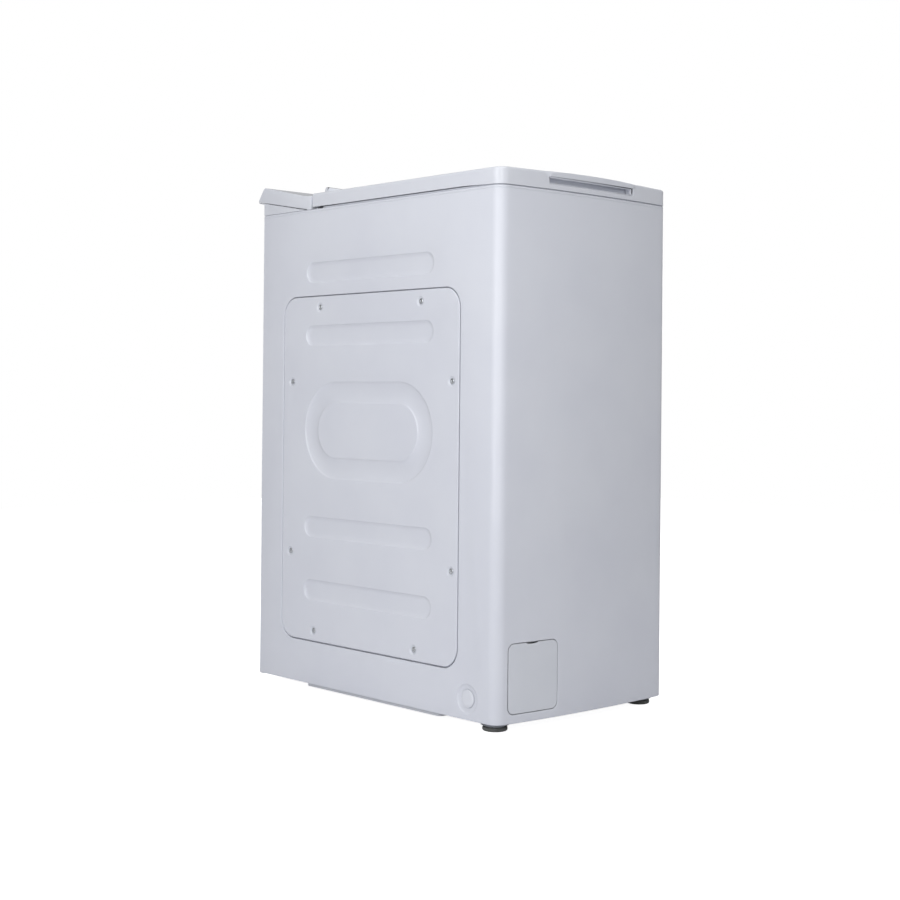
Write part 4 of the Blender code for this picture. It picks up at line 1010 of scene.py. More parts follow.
def makeConsole():
    foot, hook = console["foot"], np.array(console["hook"])
    tip = hook - (0, 0.0006)
    lower = [(0.1760, foot), (console["rear"], foot), (console["rear"], 0.8697), (0.3208, 0.8731), tip,
             (0.1790, 0.8505)]
    upper = [(console["front"], foot), (0.1748, foot), (0.1790, 0.8510), hook, (0.3222, 0.8800),
             (0.3090, 0.8974),
             (0.3066, 0.8995), ridge, slopeFoot, (0.1765, 0.8743), (console["front"] + 0.0016, 0.8741),
             (console["front"], 0.8727)]
    points, faces = bar(softened(lower, 0.0010, 4), -halfWidth, halfWidth, 0.0006)
    addPiece("console_lower_moulding", points, faces, "mouldedAbs", "cabinet", "white_plastic",
             ["console_base"], 28, closed=True)
    points, faces = bar(softened(upper, 0.0014, 5), -halfWidth, halfWidth, 0.0008)
    addPiece("console_upper_moulding", points, faces, "mouldedAbs", "cabinet", "white_plastic",
             ["console_cover"], 28, closed=True)


# A plate with round corners lying on the slope, its upper edge rounded; low and high are (x, along).
def slopePlate(name, low, high, radius, height, thickness, finish, slot="dark_plastic", edge=0.0003,
               body="cabinet", stands=()):
    rings = []
    for lift, grow in ((height - thickness, 0.0), (height - edge, 0.0), (height - 0.3 * edge, -0.3 * edge),
                       (height, -edge)):
        loop = roundRect(*grown((low, high, radius), grow), 8)
        rings.append(onSlope(loop[:, 0], loop[:, 1], lift))
    addPiece(name, *loftRings(rings), finish, body, slot, stands, 40, closed=True)


# (x, along the slope) of the middle of a node that stands on the console's slope.
def slopePosition(node):
    low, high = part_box(node)
    middle = (np.array(low) + np.array(high)) / 2
    return middle[0], float((middle[1:] - slopeFoot) @ slopeAlong)


controls = {
    "surround": ((0.012, 0.046), (0.160, 0.098), 0.006), "window": ((0.015, 0.049), (0.157, 0.095), 0.004),
    "button": (0.011, 0.005), "buttonRadius": 0.0028,          # half length and half width
    "mark": (0.003, 0.0085, 0.0095), "inkRadius": 0.0004,      # half length, near and far edge
}

knob = {
    "x": -0.105, "y": 0.216, "flutes": 36, "fluteDepth": 0.012,
    "profile": ((-0.0060, 0.0), (-0.0060, 0.0042), (0.0008, 0.0042), (0.0008, 0.0222), (0.0011, 0.0225),
                (0.0030, 0.0225), (0.0038, 0.0216), (0.0048, 0.0212), (0.0150, 0.0207), (0.0170, 0.0203),
                (0.0183, 0.0194), (0.0189, 0.0180), (0.0190, 0.0160), (0.0184, 0.0120), (0.0182, 0.0)),
    "pointer": ((-0.0206, -0.0009), (-0.0150, -0.0009), (-0.0150, 0.0009), (-0.0206, 0.0009)),
    "pointerHeights": (0.0040, 0.0192),
    "marks": range(-150, 151, 25), "markReach": (0.0265, 0.0300), "longMarkReach": (0.0262, 0.0315),
    "markHalf": 0.0004, "markHeights": (-0.0002, 0.00008),
}


def makeButtons():
    slopePlate("display_surround", *controls["surround"], 0.0007, 0.0012, "padPrint")
    slopePlate("display_window", *controls["window"], 0.0012, 0.0012, "smokedAcrylic")
    halfLong, halfWide = controls["button"]
    half, near, far = controls["mark"]
    for n in (1, 2, 3):
        x, along = slopePosition(f"button_{n}")
        slopePlate(f"push_button_{n}", (x - halfLong, along - halfWide), (x + halfLong, along + halfWide),
                   controls["buttonRadius"], 0.0030, 0.0090, "mouldedAbs", "white_plastic", 0.0008,
                   f"push_button_{n}", [f"button_{n}"])
        slopePlate(f"button_mark_{n}", (x - half, along + near), (x + half, along + far),
                   controls["inkRadius"], 0.00006, 0.0002, "padPrint")


# A fluted turned knob, its pointer, and a ring of printed marks whose every third one is longer.
def makeKnob():
    x, along = knob["x"], float((knob["y"] - slopeFoot[0]) / slopeAlong[0])
    base = onSlope(x, along)
    direction = np.array([0.0, *slopeOut])
    turnedPiece("knob_body", knob["profile"], base, direction, 144, "mouldedAbs", "programme_knob",
                "white_plastic", ["knob"], 35, flutes=knob["flutes"], fluteDepth=knob["fluteDepth"])
    pointer = softened(knob["pointer"], 0.0004, 3)
    flat = base + np.outer(pointer[:, 0], (1, 0, 0)) + np.outer(pointer[:, 1], (0, *slopeAlong))
    rings = [flat + height * direction for height in knob["pointerHeights"]]
    addPiece("knob_pointer", *loftRings(rings), "blackNylon", "programme_knob", "dark_plastic", (), 30,
             closed=True)
    for k, turn in enumerate(np.radians(knob["marks"])):
        near, far = knob["markReach"] if k % 3 else knob["longMarkReach"]
        way = np.array([math.sin(turn), math.cos(turn)])
        across = np.array([way[1], -way[0]]) * knob["markHalf"]
        corners = np.array([near * way - across, far * way - across, far * way + across, near * way + across])
        rings = [onSlope(x + corners[:, 0], along + corners[:, 1], lift) for lift in knob["markHeights"]]
        addPiece(f"programme_mark_{k + 1}", *loftRings(rings), "padPrint", "cabinet", "dark_plastic", (), 30,
                 closed=True)


makeConsole()
makeButtons()
makeKnob()
print("console and controls made")

# front flap, fasteners, plug and feet

flap = {"edge": 0.0007, "gripX": (-0.1380, -0.1126), "gripDrop": 0.0022, "thickness": 0.0017}


# The bowed front's own surface inside a rectangle with round corners, its edge rolled in, and one finger
# notch whose drop is gripDrop * (1 - (across / half)^2)^0.4.
def makeFlap():
    (left, foot), (right, top), radius = flapRect
    gripLeft, gripRight = flap["gripX"]
    middle, half, edge = (gripLeft + gripRight) / 2, (gripRight - gripLeft) / 2, flap["edge"]

    def notchFoot(x):
        return top - flap["gripDrop"] * np.sqrt(np.maximum(1 - ((x - middle) / half) ** 2, 0)) ** 0.8

    turn = np.radians((0, 25, 50, 75, 90))
    loops = [flattenFront(loop) for loop in ringLoops(flapRect, -edge * np.sin(turn), 10)]
    lines = [np.array([(s, foot - 0.001), (s, top + 0.001)]) for s in np.linspace(left, right, 27)[1:-1]]
    lines += [np.array([(left - 0.001, z), (right + 0.001, z)]) for z in np.linspace(foot, top, 19)[1:-1]]
    across = np.linspace(gripLeft, gripRight, 15)
    lines.append(flattenFront(np.column_stack([across, notchFoot(across)])))

    def keep(s, v):
        x = planAt(cabinetPlan, s)[0]
        notch = (np.abs(x - middle) < half) & (v > notchFoot(x))
        return (rectDistance(x, v, *flapRect) < 0) & ~notch

    uv, triangles = spanSheet(loops, lines, keep)
    x = planAt(cabinetPlan, uv[:, 0])[0]
    way = np.clip(-rectDistance(x, uv[:, 1], *flapRect), 0, edge)
    depth = edge - np.sqrt(np.maximum(edge ** 2 - (edge - way) ** 2, 0))
    x, y = planAt(cabinetPlan, uv[:, 0], depth)[:2]
    piece = addPiece("flap_panel", np.column_stack([x, y, uv[:, 1]]), triangles, "shadedAbs", "flap",
                     "white_plastic", ["filter_flap"], 50)
    solidify(piece, flap["thickness"])


coverScrew = {
    "head": 0.0050, "rise": 0.0020, "seat": 0.0022, "shank": 0.0002,
    "cross": 0.00055, "crossDepth": 0.0011, "crossReach": (0.0019, 0.0026),
    "tilt": 0.5, "tiltStep": 0.9,       # radians; each cross stands at another angle
}


# Pan heads: height = dome of the radius, less a cross where min(|across|, |up|) is small near the middle.
def makeScrews():
    head, cross = coverScrew["head"], coverScrew["cross"]
    radius = (np.linspace(0, 1, 15)[1:] ** 0.8 * head)[:, None]
    turn = np.linspace(0, 2 * np.pi, 48, endpoint=False)
    u, w = radius * np.cos(turn), radius * np.sin(turn)
    dome = coverScrew["rise"] * np.sqrt(np.maximum(1 - (radius / (head * 1.02)) ** 2, 0)) ** 0.9
    arm = 1 - smoothStep(np.minimum(np.abs(u), np.abs(w)), cross * 0.6, cross * 1.5)
    height = dome - coverScrew["crossDepth"] * arm * (1 - smoothStep(radius, *coverScrew["crossReach"]))
    for n, spot in enumerate(screwSpots, 1):
        tilt = coverScrew["tilt"] + coverScrew["tiltStep"] * n
        y = spot.y + u * math.cos(tilt) - w * math.sin(tilt)
        z = spot.z + u * math.sin(tilt) + w * math.cos(tilt)
        rows = list(np.stack([coverLow.x + coverScrew["seat"] - height, y, z], axis=-1))
        rows.append(rows[-1] + (coverScrew["shank"], 0, 0))
        addPiece(f"cover_screw_{n}", *loftRings(rows), "screwZinc", "cabinet", "zinc_steel",
                 [f"service_cover_screw_{n}"], 50, closed=True)


sidePlug = {
    "seat": 0.0003,
    "profile": ((0.0002, 0.0), (0.00025, 0.0085), (0.0001, 0.0108), (-0.0003, 0.0118), (-0.0006, 0.0124),
                (-0.0003, 0.0130), (-0.0005, 0.0137), (-0.0010, 0.0142), (-0.0017, 0.0143), (-0.0017, 0.0112),
                (-0.0085, 0.0108), (-0.0095, 0.0096), (-0.0095, 0.0)),
}


def makePlug():
    turnedPiece("blanking_plug", sidePlug["profile"], (wrapLow.x + sidePlug["seat"], *plugSpot), (-1, 0, 0),
                72, "mouldedAbs", "cabinet", "white_plastic", ["side_plug"])


frontFoot = {
    "pad": ((0.0, 0.0), (0.0, 0.0165), (0.0006, 0.0186), (0.0018, 0.0197), (0.0040, 0.0200), (0.0058, 0.0196),
            (0.0066, 0.0186), (0.0068, 0.0150), (0.0068, 0.0)),
    "flange": ((0.0069, 0.0), (0.0069, 0.0160), (0.0090, 0.0162), (0.0093, 0.0212), (0.0097, 0.0222),
               (0.0105, 0.0225), (0.0112, 0.0222), (0.0116, 0.0212), (0.0118, 0.0112), (0.0119, 0.0)),
    "stem": (0.0119, 0.0408), "stemRadius": 0.0047, "pitch": 0.0015, "threadDepth": 0.00035,
    "tipRadius": 0.0040,
}


# A turned pad with a rolled foot, a flange above it, and a stem of radius stemRadius + threadDepth * sine.
def makeFeet():
    start, end = frontFoot["stem"]
    heights = np.arange(start, end, 0.00035)
    thread = (frontFoot["stemRadius"]
              + frontFoot["threadDepth"] * np.sin(2 * np.pi * heights / frontFoot["pitch"]))
    stem = [(start, 0.0), *zip(heights, thread), (end, frontFoot["tipRadius"]), (end, 0.0)]
    for word in ("left", "right"):
        low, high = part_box(f"front_foot_{word}")
        centre, body = ((low.x + high.x) / 2, (low.y + high.y) / 2, 0), f"foot_{word}"
        turnedPiece(f"foot_pad_{word}", frontFoot["pad"], centre, up, 64, "footRubber", body, "rubber",
                    [f"front_foot_{word}"])
        turnedPiece(f"foot_flange_{word}", frontFoot["flange"], centre, up, 64, "zincPlate", body,
                    "zinc_steel")
        turnedPiece(f"foot_stem_{word}", stem, centre, up, 32, "zincPlate", body, "zinc_steel", (), 60)


filterNiche = {
    "centre": (-0.123, 0.085), "mouth": 0.0320, "throat": 0.0288, "wall": 0.0012, "back": 0.0008,
    "flange": 0.0045, "flangeDepth": 0.0042, "lip": 0.0010, "lipDepth": 0.0038, "lipLength": 0.0050,
    "funnel": ((0.35, -0.298), (0.75, -0.291), (1.0, -0.288)),      # share of the circle, y
    "throatY": (-0.287, -0.272),
}


# Funnel behind the flap: a rounded rectangle in the front narrows to a circle round the filter cap, and a
# second wall, moved straight away from the circle's axis, closes it.
def makeNiche():
    cx, cz = filterNiche["centre"]

    def circle(radius):
        return roundRect((cx - radius, cz - radius), (cx + radius, cz + radius), radius * 0.9995, 12)

    def behindFront(loop, depth):
        x, y = planAt(cabinetPlan, flattenFront(loop)[:, 0], depth)[:2]
        return np.column_stack([x, y, loop[:, 1]])

    def atDepth(loop, y):
        return np.insert(loop, 1, y, axis=1)

    lip = roundRect(*shrunk(flapRect, filterNiche["lip"]), 12)
    rows = [behindFront(roundRect(*grown(flapRect, filterNiche["flange"]), 12), filterNiche["flangeDepth"]),
            behindFront(lip, filterNiche["lipDepth"])]
    rows.append(rows[-1] + (0, filterNiche["lipLength"], 0))
    for share, y in filterNiche["funnel"]:
        rows.append(atDepth((1 - share) * lip + share * circle(filterNiche["mouth"]), y))
    rows += [atDepth(circle(filterNiche["throat"]), y) for y in filterNiche["throatY"]]
    outside = []
    for row in rows[::-1]:
        away = (row - (cx, 0, cz)) * (1, 0, 1)
        away /= np.linalg.norm(away, axis=1)[:, None]
        outside.append(row + filterNiche["wall"] * away + (0, filterNiche["back"], 0))
    addPiece("filter_niche", *loftRings(rows + outside, wrapRows=True), "palePolypropylene", "cabinet",
             "grey_plastic", (), 40, closed=True)


filterCap = {
    "start": -0.2150, "flutes": 36, "fluteDepth": 0.02,
    "profile": ((0.0, 0.0), (0.0, 0.0262), (0.0660, 0.0262), (0.0800, 0.0262), (0.0806, 0.0268),
                (0.0845, 0.0270),
                (0.0856, 0.0262), (0.0860, 0.0240), (0.0856, 0.0215), (0.0850, 0.0205), (0.0848, 0.0)),
    "grip": ((-0.0185, -0.0040), (0.0185, 0.0040), 0.0038), "gripFoot": -0.2997,
    "gripSteps": ((0.0, 0.0), (0.0052, 0.0003), (0.0068, 0.0008), (0.0074, 0.0018), (0.0075, 0.0030)),
}


# A turned cap with a ribbed edge, and a grip bar drawn in step by step towards its top.
def makeFilterCap():
    cx, cz = filterNiche["centre"]
    turnedPiece("filter_cap_body", filterCap["profile"], (cx, filterCap["start"], cz), (0, -1, 0), 144,
                "talcPolypropylene", "filter", "grey_plastic", ["filter_cap"], flutes=filterCap["flutes"],
                fluteDepth=filterCap["fluteDepth"])
    rings = [np.column_stack([cx + ring[:, 0], filterCap["gripFoot"] - ring[:, 2], cz + ring[:, 1]])
             for ring in levelRings(filterCap["grip"], filterCap["gripSteps"], 6)]
    addPiece("filter_grip", *loftRings(rings), "talcPolypropylene", "filter", "grey_plastic", (), 40,
             closed=True)


makeFlap()
makeNiche()
makeFilterCap()
makeScrews()
makePlug()
makeFeet()
print("flap, screws, plug and feet made")

# deck, tray and bellows

deck = {
    "top": 0.8525, "step": 0.8488, "stepY": 0.1335, "inset": 0.0032, "rear": 0.162, "wall": 0.0026,
    "gutter": 0.0012, "gutterPlace": 0.0086, "gutterHalf": 0.0036,   # depth, way out, half width
    "mouth": ((-0.118, -0.195), (0.133, 0.135), 0.035),
    "trayHole": ((-0.1303, -0.2923), (0.1303, -0.2117), 0.003),
}


# z = top - rounded rims - gutter * bell of the distance from the mouth - the step behind it.
def makeDeck():
    outline = []
    for s in planLines(lidPlan, rearCorner=1, rearLine=1):
        x, y = planAt(lidPlan, s, deck["inset"])[:2]
        outline.append((float(x), min(float(y), deck["rear"])))
    outline = np.array(outline)[:-1]
    rims = (0.0, 0.0004, 0.0010, 0.0020, 0.0050, 0.0068, 0.0086, 0.0104, 0.0122)
    loops = [outline] + ringLoops(deck["mouth"], rims, 10) + ringLoops(deck["trayHole"], rims[:4], 4)
    lines = [np.array([(-halfWidth, deck["stepY"] + d), (halfWidth, deck["stepY"] + d)])
             for d in (-0.0001, 0.0001, 0.0010, 0.0020)]
    lines += [np.array([(x, -0.33), (x, 0.17)]) for x in np.linspace(-0.18, 0.18, 13)]
    lines += [np.array([(-halfWidth, y), (halfWidth, y)]) for y in np.linspace(-0.30, 0.12, 15)]

    def keep(x, y):
        inside = insideLoop(x, y, outline)
        return inside & (rectDistance(x, y, *deck["mouth"]) > 0) & (rectDistance(x, y, *deck["trayHole"]) > 0)

    uv, triangles = spanSheet(loops, lines, keep)
    x, y = uv[:, 0], uv[:, 1]
    toMouth, toTray = rectDistance(x, y, *deck["mouth"]), rectDistance(x, y, *deck["trayHole"])
    z = deck["top"] - lidFillet(np.clip(np.minimum(toMouth, toTray), 0, 1))
    fromGutter = (toMouth - deck["gutterPlace"]) / deck["gutterHalf"]
    z -= deck["gutter"] * np.clip(1 - fromGutter ** 2, 0, 1) ** 1.5
    behind = smoothStep(y, deck["stepY"] - 0.0001, deck["stepY"] + 0.0001)
    z = np.where(behind > 0.5, np.minimum(z, deck["step"]), z)
    piece = addPiece("deck_moulding", np.column_stack([uv, z]), triangles, "mouldedAbs", "cabinet",
                     "white_plastic", ["top_frame"], 45)
    solidify(piece, deck["wall"])


tray = {
    "outline": ((-0.130, -0.292), (0.130, -0.212), 0.003), "z": (0.795, 0.849),
    "cellX": ((-0.128, -0.046), (-0.044, 0.044), (0.046, 0.128)), "cellY": (-0.290, -0.214),
    "cellRadius": 0.007,
    "drop": (0.0, 0.0004, 0.0060, 0.0400, 0.0480, 0.0505, 0.0518),     # below the rim, and drawn in there
    "draw": (0.0, 0.0002, 0.0004, 0.0008, 0.0010, 0.0024, 0.0060),
}


# Three cells with round corners and a round foot, hung in one rounded rim.
def makeTray():
    foot, rim = tray["z"]
    nearY, farY = tray["cellY"]
    cells = [((x0, nearY), (x1, farY), tray["cellRadius"]) for x0, x1 in tray["cellX"]]

    def keep(x, y):
        kept = rectDistance(x, y, *tray["outline"]) < 0
        for cell in cells:
            kept &= rectDistance(x, y, *cell) > 0
        return kept

    flat, cap = spanSheet([roundRect(*tray["outline"], 6)] + [roundRect(*cell, 8) for cell in cells], [],
                          keep)
    parts = [(np.column_stack([flat, np.full(len(flat), rim)]), cap)]
    cellSteps = [(rim - down, inset) for down, inset in zip(tray["drop"], tray["draw"])]
    parts += [loftRings(levelRings(cell, cellSteps, 8), False, True) for cell in cells]
    outerSteps = ((rim, 0.0), (foot + 0.002, 0.0), (foot + 0.0006, 0.0006), (foot, 0.0018))
    parts.append(loftRings(levelRings(tray["outline"], outerSteps, 6), False, True))
    addPiece("tray_moulding", *joined(parts), "mouldedAbs", "cabinet", "white_plastic", ["detergent_tray"],
             40, closed=True)


bellows = {"z": (0.8006, 0.8450), "base": 0.0006, "depth": 0.0052, "folds": 3, "wall": 0.0022}


# Grow(t) = base + depth * (1 - cos(2 pi n t)) / 2 between foot and rim, closed by a second wall outside it.
def makeBellows():
    t = np.linspace(0, 1, 37)
    z = bellows["z"][0] + t * (bellows["z"][1] - bellows["z"][0])
    grow = bellows["base"] + bellows["depth"] * (1 - np.cos(2 * np.pi * bellows["folds"] * t)) / 2
    rings = levelRings(deck["mouth"], zip(z, -grow), 12)
    rings += levelRings(deck["mouth"], zip(z[::-1], -grow[::-1] - bellows["wall"]), 12)
    addPiece("bellows", *loftRings(rings, wrapRows=True), "greyEpdm", "cabinet", "grey_rubber",
             ["door_gasket"], 60, closed=True)


makeDeck()
makeTray()
makeBellows()
print("deck, tray and bellows made")

# drum

drum = {
    "axis": (-0.010, 0.445), "radius": 0.230, "sheet": 0.0009, "x": (-0.125, 0.140),
    "openingArc": 21.4, "openingRadius": 0.0012, "rimDepth": 0.0016, "rimWidth": 0.0030,   # arcs in degrees
    "bead": 0.0016, "beadPlace": 0.016, "beadHalf": 0.006,
}

drumDoor = {
    "arc": 20.6, "x": (-0.0975, 0.1125), "gap": 0.001, "radius": 0.0016, "near": 0.0011, "far": 0.0006,
    "rimDepth": 0.0014, "rimWidth": 0.0028, "ribs": 6, "ribRoom": 0.022, "ribDepth": 0.0013, "ribHalf": 0.004,
    "hatch": ((0.0116, -0.0124), (0.0284, 0.0274), 0.0020),     # hole for the latch, as (arc, x)
    "hingeRadius": 0.2294, "wire": 0.0016, "wireEdge": 0.0003,
}

latch = {
    "outline": ((-0.0120, -0.0380), (0.0270, -0.0220), 0.0030),
    "steps": ((0.6690, 0.0004), (0.6694, 0.0), (0.6746, 0.0), (0.6753, 0.0004), (0.6756, 0.0012)),
}


# World point at arc metres round from the top (towards the front) and x across, depth inside the drum's skin.
def onDrum(arc, x, depth=0.0):
    turn = arc / drum["radius"]
    r = drum["radius"] - depth
    return np.column_stack([x, drum["axis"][0] - r * np.sin(turn), drum["axis"][1] + r * np.cos(turn)])


def bell(value, middle, half):
    return np.clip(1 - ((value - middle) / half) ** 2, 0, 1) ** 2


# Skin rolled about the axis, two beads pressed round it, the opening's rim turned in.
def makeDrumShell():
    half = math.pi * drum["radius"]
    edge = math.radians(drum["openingArc"]) * drum["radius"]
    x0, x1 = drum["x"]
    door0, door1 = drumDoor["x"][0] - drumDoor["gap"], drumDoor["x"][1] + drumDoor["gap"]
    opening = ((-edge, door0), (edge, door1), drum["openingRadius"])
    loops = [np.array([(-half, x0), (half, x0), (half, x1), (-half, x1)])]
    loops += ringLoops(opening, (0.0, 0.0010, 0.0020, 0.0040), 4)
    lines = [np.array([(u, x0), (u, x1)]) for u in np.linspace(-half, half, 145)[1:-1]]
    beads = (x0 + drum["beadPlace"], x1 - drum["beadPlace"])
    levels = [middle + d for middle in beads for d in (-0.006, -0.004, -0.002, 0, 0.002, 0.004, 0.006)]
    lines += [np.array([(-half, x), (half, x)]) for x in [*levels, -0.06, -0.03, 0.0, 0.03, 0.06, 0.09]]
    uv, triangles = spanSheet(loops, lines, lambda u, x: rectDistance(u, x, *opening) > 0)
    arc, x = uv[:, 0], uv[:, 1]
    depth = sum(drum["bead"] * bell(x, middle, drum["beadHalf"]) for middle in beads)
    rim = np.maximum(rectDistance(arc, x, *opening), 0)
    depth += drum["rimDepth"] * np.clip(1 - rim / drum["rimWidth"], 0, 1) ** 2
    piece = addPiece("drum_skin", onDrum(arc, x, depth), triangles, "stainlessHoleShade", "drum",
                     "stainless_steel", ["drum_shell"], 50)
    merge(piece.data)
    solidify(piece, drum["sheet"])


# Curved flaps: depth = flange at the free edge + ribs pressed across, rolled round the hinge wire.
def makeDrumDoors():
    turn = math.radians(drumDoor["arc"])
    reach = turn * drum["radius"]
    x0, x1 = drumDoor["x"]
    ribs = np.linspace(x0 + drumDoor["ribRoom"], x1 - drumDoor["ribRoom"], drumDoor["ribs"])
    for side, word in ((1, "front"), (-1, "rear")):
        near, far = sorted((side * drumDoor["near"], side * (reach - drumDoor["far"])))
        panel = ((near, x0), (far, x1), drumDoor["radius"])
        loops = ringLoops(panel, (0.0, -0.0008, -0.0016, -0.0026, -0.0045), 5)
        lines = [np.array([(u, x0), (u, x1)]) for u in np.linspace(near, far, 13)[1:-1]]
        for middle in ribs:
            lines += [np.array([(near, middle + d), (far, middle + d)]) for d in (-0.004, -0.0025, 0,
                                                                                  0.0025, 0.004)]
        hasHatch = side > 0
        if hasHatch:
            loops.append(roundRect(*drumDoor["hatch"], 4))

        def keep(u, x):
            kept = rectDistance(u, x, *panel) < 0
            return kept & (rectDistance(u, x, *drumDoor["hatch"]) > 0) if hasHatch else kept

        uv, triangles = spanSheet(loops, lines, keep)
        arc, x = uv[:, 0], uv[:, 1]
        way = -rectDistance(arc, x, *panel)
        depth = drumDoor["rimDepth"] * np.clip(1 - way / drumDoor["rimWidth"], 0, 1) ** 2
        for middle in ribs:
            depth += drumDoor["ribDepth"] * smoothStep(way, 0.004, 0.012) * bell(x, middle,
                                                                                 drumDoor["ribHalf"])
        if hasHatch:
            depth *= smoothStep(rectDistance(arc, x, *drumDoor["hatch"]), 0.0, 0.004)
        body = f"drum_flap_{word}"
        piece = addPiece(f"drum_flap_skin_{word}", onDrum(arc, x, depth), triangles, "stainlessHoleShade", body,
                         "stainless_steel", [f"drum_door_{word}"], 50)
        solidify(piece, drum["sheet"])
        hinge = (0, drum["axis"][0] - side * drumDoor["hingeRadius"] * math.sin(turn),
                 drum["axis"][1] + drumDoor["hingeRadius"] * math.cos(turn))
        wire, bevel = drumDoor["wire"], drumDoor["wireEdge"]
        start, end = x0 + 0.0001, x1 - 0.0001
        profile = [(start, 0), (start, wire - bevel), (start + bevel, wire), (end - bevel, wire),
                   (end, wire - bevel), (end, 0)]
        turnedPiece(f"drum_hinge_{word}", profile, hinge, (1, 0, 0), 24, "rolledStainless", body,
                    "stainless_steel")
    rings = levelRings(latch["outline"], latch["steps"], 6)
    addPiece("latch_button", *loftRings(rings), "talcPolypropylene", "latch", "grey_plastic",
             ["door_latch_button"], 40, closed=True)


drumEnd = {
    "left": {"side": -1, "face": 0.125, "tip": 0.190}, "right": {"side": 1, "face": 0.140, "tip": 0.165},
    "inward": 0.0040, "rim": 0.2288, "hub": 0.0300, "boss": 0.0125, "shaft": 0.0098, "waves": 3,
    "waveSpan": 0.199, "dish": 0.0030, "waveHeight": 0.0010, "flatRim": 0.2275,
}


# Dished discs: height = dish + waveHeight * cos of the way out from the hub, three waves to the rim; a shaft
# stands on the outer face.
def makeDrumEnds():
    hub, shaft = drumEnd["hub"], drumEnd["shaft"]
    radius = np.concatenate([np.linspace(drumEnd["rim"], hub, 90), [drumEnd["boss"], 0.0100]])
    wave = (np.cos((radius - hub) / drumEnd["waveSpan"] * 2 * drumEnd["waves"] * np.pi)
            * (radius > hub - 0.001))
    dish = np.where(radius > drumEnd["flatRim"], 0.0, drumEnd["dish"] + drumEnd["waveHeight"] * wave)
    for word in ("left", "right"):
        side, face, tip = (drumEnd[word][key] for key in ("side", "face", "tip"))
        near = face - drumEnd["inward"]
        inner = [*zip(near - 0.0006 + dish, radius), (near - 0.004, shaft), (near - 0.004, 0.0)]
        outer = [*zip(near + 0.0018 + dish[:-2], radius[:-2]), (near + 0.0060, drumEnd["boss"]),
                 (near + 0.0065, shaft), (tip - 0.0006, shaft), (tip, shaft - 0.0008), (tip, 0.0)]
        turnedPiece(f"drum_disc_{word}", inner[::-1] + outer, (0, *drum["axis"]), (side, 0, 0), 120,
                    "rolledStainless", "drum", "stainless_steel", [f"drum_end_{word}"])


lifter = {
    "turn": {"front": 115, "rear": -115},       # degrees round from the top
    "middle": 0.0075, "halfLength": 0.1220, "halfWidth": 0.0275, "height": 0.044,
    "foot": 0.2264, "footGap": 0.0002, "groove": 0.0012, "grooveZone": (0.012, 0.040),
}


# Paddles: height = a power of a cosine across the base, falling to nothing at both ends, with shallow
# grooves.
def makeLifters():
    across, along = np.meshgrid(np.linspace(-1, 1, 33), np.linspace(-1, 1, 61))
    height = lifter["height"] * np.cos(across * np.pi / 2) ** 1.4 * np.clip(1 - along ** 8, 0, 1) ** 0.5
    low, high = lifter["grooveZone"]
    height -= lifter["groove"] * (np.sin(along * 26) > 0.4) * (height > low) * (height < high)
    rows, columns = across.shape
    count = rows * columns
    topFaces = gridFaces(rows, columns, wrapColumns=False)
    footFaces = [[k + count for k in face][::-1] for face in topFaces]
    index = np.arange(count).reshape(rows, columns)
    edge = np.concatenate([index[0], index[1:, -1], index[-1, -2::-1], index[-2:0:-1, 0]])
    after = np.roll(edge, -1)
    skirt = np.column_stack([edge, after, after + count, edge + count]).tolist()
    x = (lifter["middle"] + along * lifter["halfLength"])[..., None]
    for word, turn in lifter["turn"].items():
        a = math.radians(turn)
        radial, tangent = np.array([-math.sin(a), math.cos(a)]), np.array([math.cos(a), math.sin(a)])
        sideways = np.asarray(drum["axis"]) + (across * lifter["halfWidth"])[..., None] * tangent
        reach = lifter["foot"] - lifter["footGap"] - height
        top = np.concatenate([x, sideways + reach[..., None] * radial], axis=-1)
        foot = np.concatenate([x, sideways + lifter["foot"] * radial], axis=-1)
        points = np.concatenate([top.reshape(-1, 3), foot.reshape(-1, 3)])
        addPiece(f"drum_paddle_{word}", points, [*topFaces, *footFaces, *skirt], "talcPolypropylene", "drum",
                 "grey_plastic", [f"drum_lifter_{word}"], 45, closed=True)


makeDrumShell()
makeDrumDoors()
makeDrumEnds()
makeLifters()
print("drum made")

# rear panel

rear = {
    "face": 0.3060, "low": (-0.1992, 0.0140), "high": (0.1992, 0.8484), "sheet": 0.0011, "slope": 0.006,
    "field": ((-0.168, 0.050), (0.168, 0.640), 0.030), "fieldDepth": 0.0040,
    "ribs": (0.130, 0.215, 0.300, 0.385, 0.470, 0.555), "ribX": 0.140, "ribHalf": 0.014, "ribDepth": 0.0022,
    "holes": ((-0.120, 0.790, 0.0150), (0.130, 0.760, 0.0170), (0.150, 0.690, 0.0100)),     # x, z, radius
    "holeRim": 0.0004, "holeRimHalf": 0.003,
    "louvres": (0.700, 0.716, 0.732, 0.748, 0.764), "louvreX": 0.060, "louvreHalf": 0.0045,
    "louvreDepth": 0.0022,
}


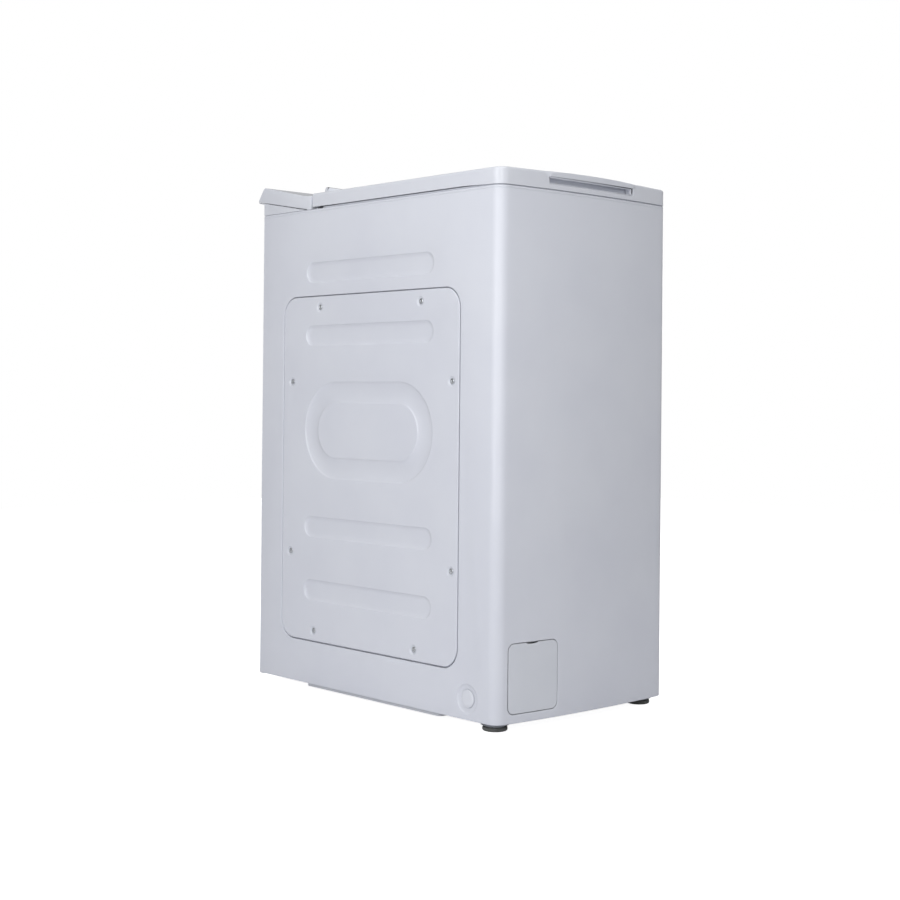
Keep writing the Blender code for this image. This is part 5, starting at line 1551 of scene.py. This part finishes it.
# y = face - field pressing + ribs pressed back in it - louvres; seen from behind, so u = -x.
def makeRearPanel():
    low, high = rear["low"], rear["high"]
    loops = [np.array([(low[0], low[1]), (high[0], low[1]), (high[0], high[1]), (low[0], high[1])])]
    loops += ringLoops(rear["field"], (0.001, 0.0, -0.001, -0.003, -0.006, -0.010), 10)

    def strip(z, reach, half):
        return (-reach, z - half), (reach, z + half), half - 0.0001

    rearRibs = [strip(z, rear["ribX"], rear["ribHalf"]) for z in rear["ribs"]]
    for rib in rearRibs:
        loops += ringLoops(rib, (0.0, -0.0012, -0.004, -0.008), 8)
    vents = [strip(z, rear["louvreX"], rear["louvreHalf"]) for z in rear["louvres"]]
    for vent in vents:
        loops += ringLoops(vent, (0.0, -0.0008, -0.002), 6)
    for x, z, radius in rear["holes"]:
        loops += [circleLoop((-x, z), radius + out, 40) for out in (0.0, 0.0006, 0.0015, 0.004)]
    lines = [np.array([(low[0], z), (high[0], z)]) for z in np.linspace(low[1], high[1], 24)[1:-1]]
    lines += [np.array([(u, low[1]), (u, high[1])]) for u in np.linspace(low[0], high[0], 14)[1:-1]]

    def keep(u, v):
        kept = np.ones(u.shape, bool)
        for x, z, radius in rear["holes"]:
            kept &= np.hypot(u + x, v - z) > radius * 0.999
        return kept

    uv, triangles = spanSheet(loops, lines, keep)
    u, v = uv[:, 0], uv[:, 1]
    depth = pressed(rectDistance(u, v, *rear["field"]), rear["fieldDepth"], rear["slope"])
    for rib in rearRibs:
        depth -= pressed(rectDistance(u, v, *rib), rear["ribDepth"], rear["slope"])
    for vent, middle in zip(vents, rear["louvres"]):
        inward = np.clip(-rectDistance(u, v, *vent) / 0.002, 0, 1)
        depth += rear["louvreDepth"] * inward * np.clip(0.5 + (v - middle) / 0.006, 0, 1)
    for x, z, radius in rear["holes"]:
        depth += rear["holeRim"] * bell(np.hypot(u + x, v - z), radius, rear["holeRimHalf"])
    points = np.column_stack([-u, rear["face"] - depth, v])
    piece = addPiece("rear_sheet", points, triangles, "coatedSteel", "cabinet", "enamelled_steel",
                     ["rear_panel"], 50)
    solidify(piece, rear["sheet"])


rearScrew = {
    "spots": ((-0.188, 0.030), (0.188, 0.030), (-0.188, 0.300), (0.188, 0.300), (-0.188, 0.570),
              (0.188, 0.570), (-0.188, 0.835), (0.188, 0.835), (0.0, 0.835), (0.0, 0.026)),
    "profile": ((-0.0002, 0.0), (-0.0002, 0.0058), (0.0006, 0.0060), (0.0008, 0.0042), (0.0026, 0.0040),
                (0.0031, 0.0034), (0.0031, 0.0016), (0.0024, 0.0014), (0.0024, 0.0)),
}


def makeRearScrews():
    parts = []
    for x, z in rearScrew["spots"]:
        parts.append(loftRings(turnedRings(rearScrew["profile"], (x, rear["face"], z), (0, 1, 0), 24),
                               False, False))
    addPiece("rear_screws", *joined(parts), "zincPlate", "cabinet", "zinc_steel", (), 40, closed=True)


makeRearPanel()
makeRearScrews()
print("rear panel made")
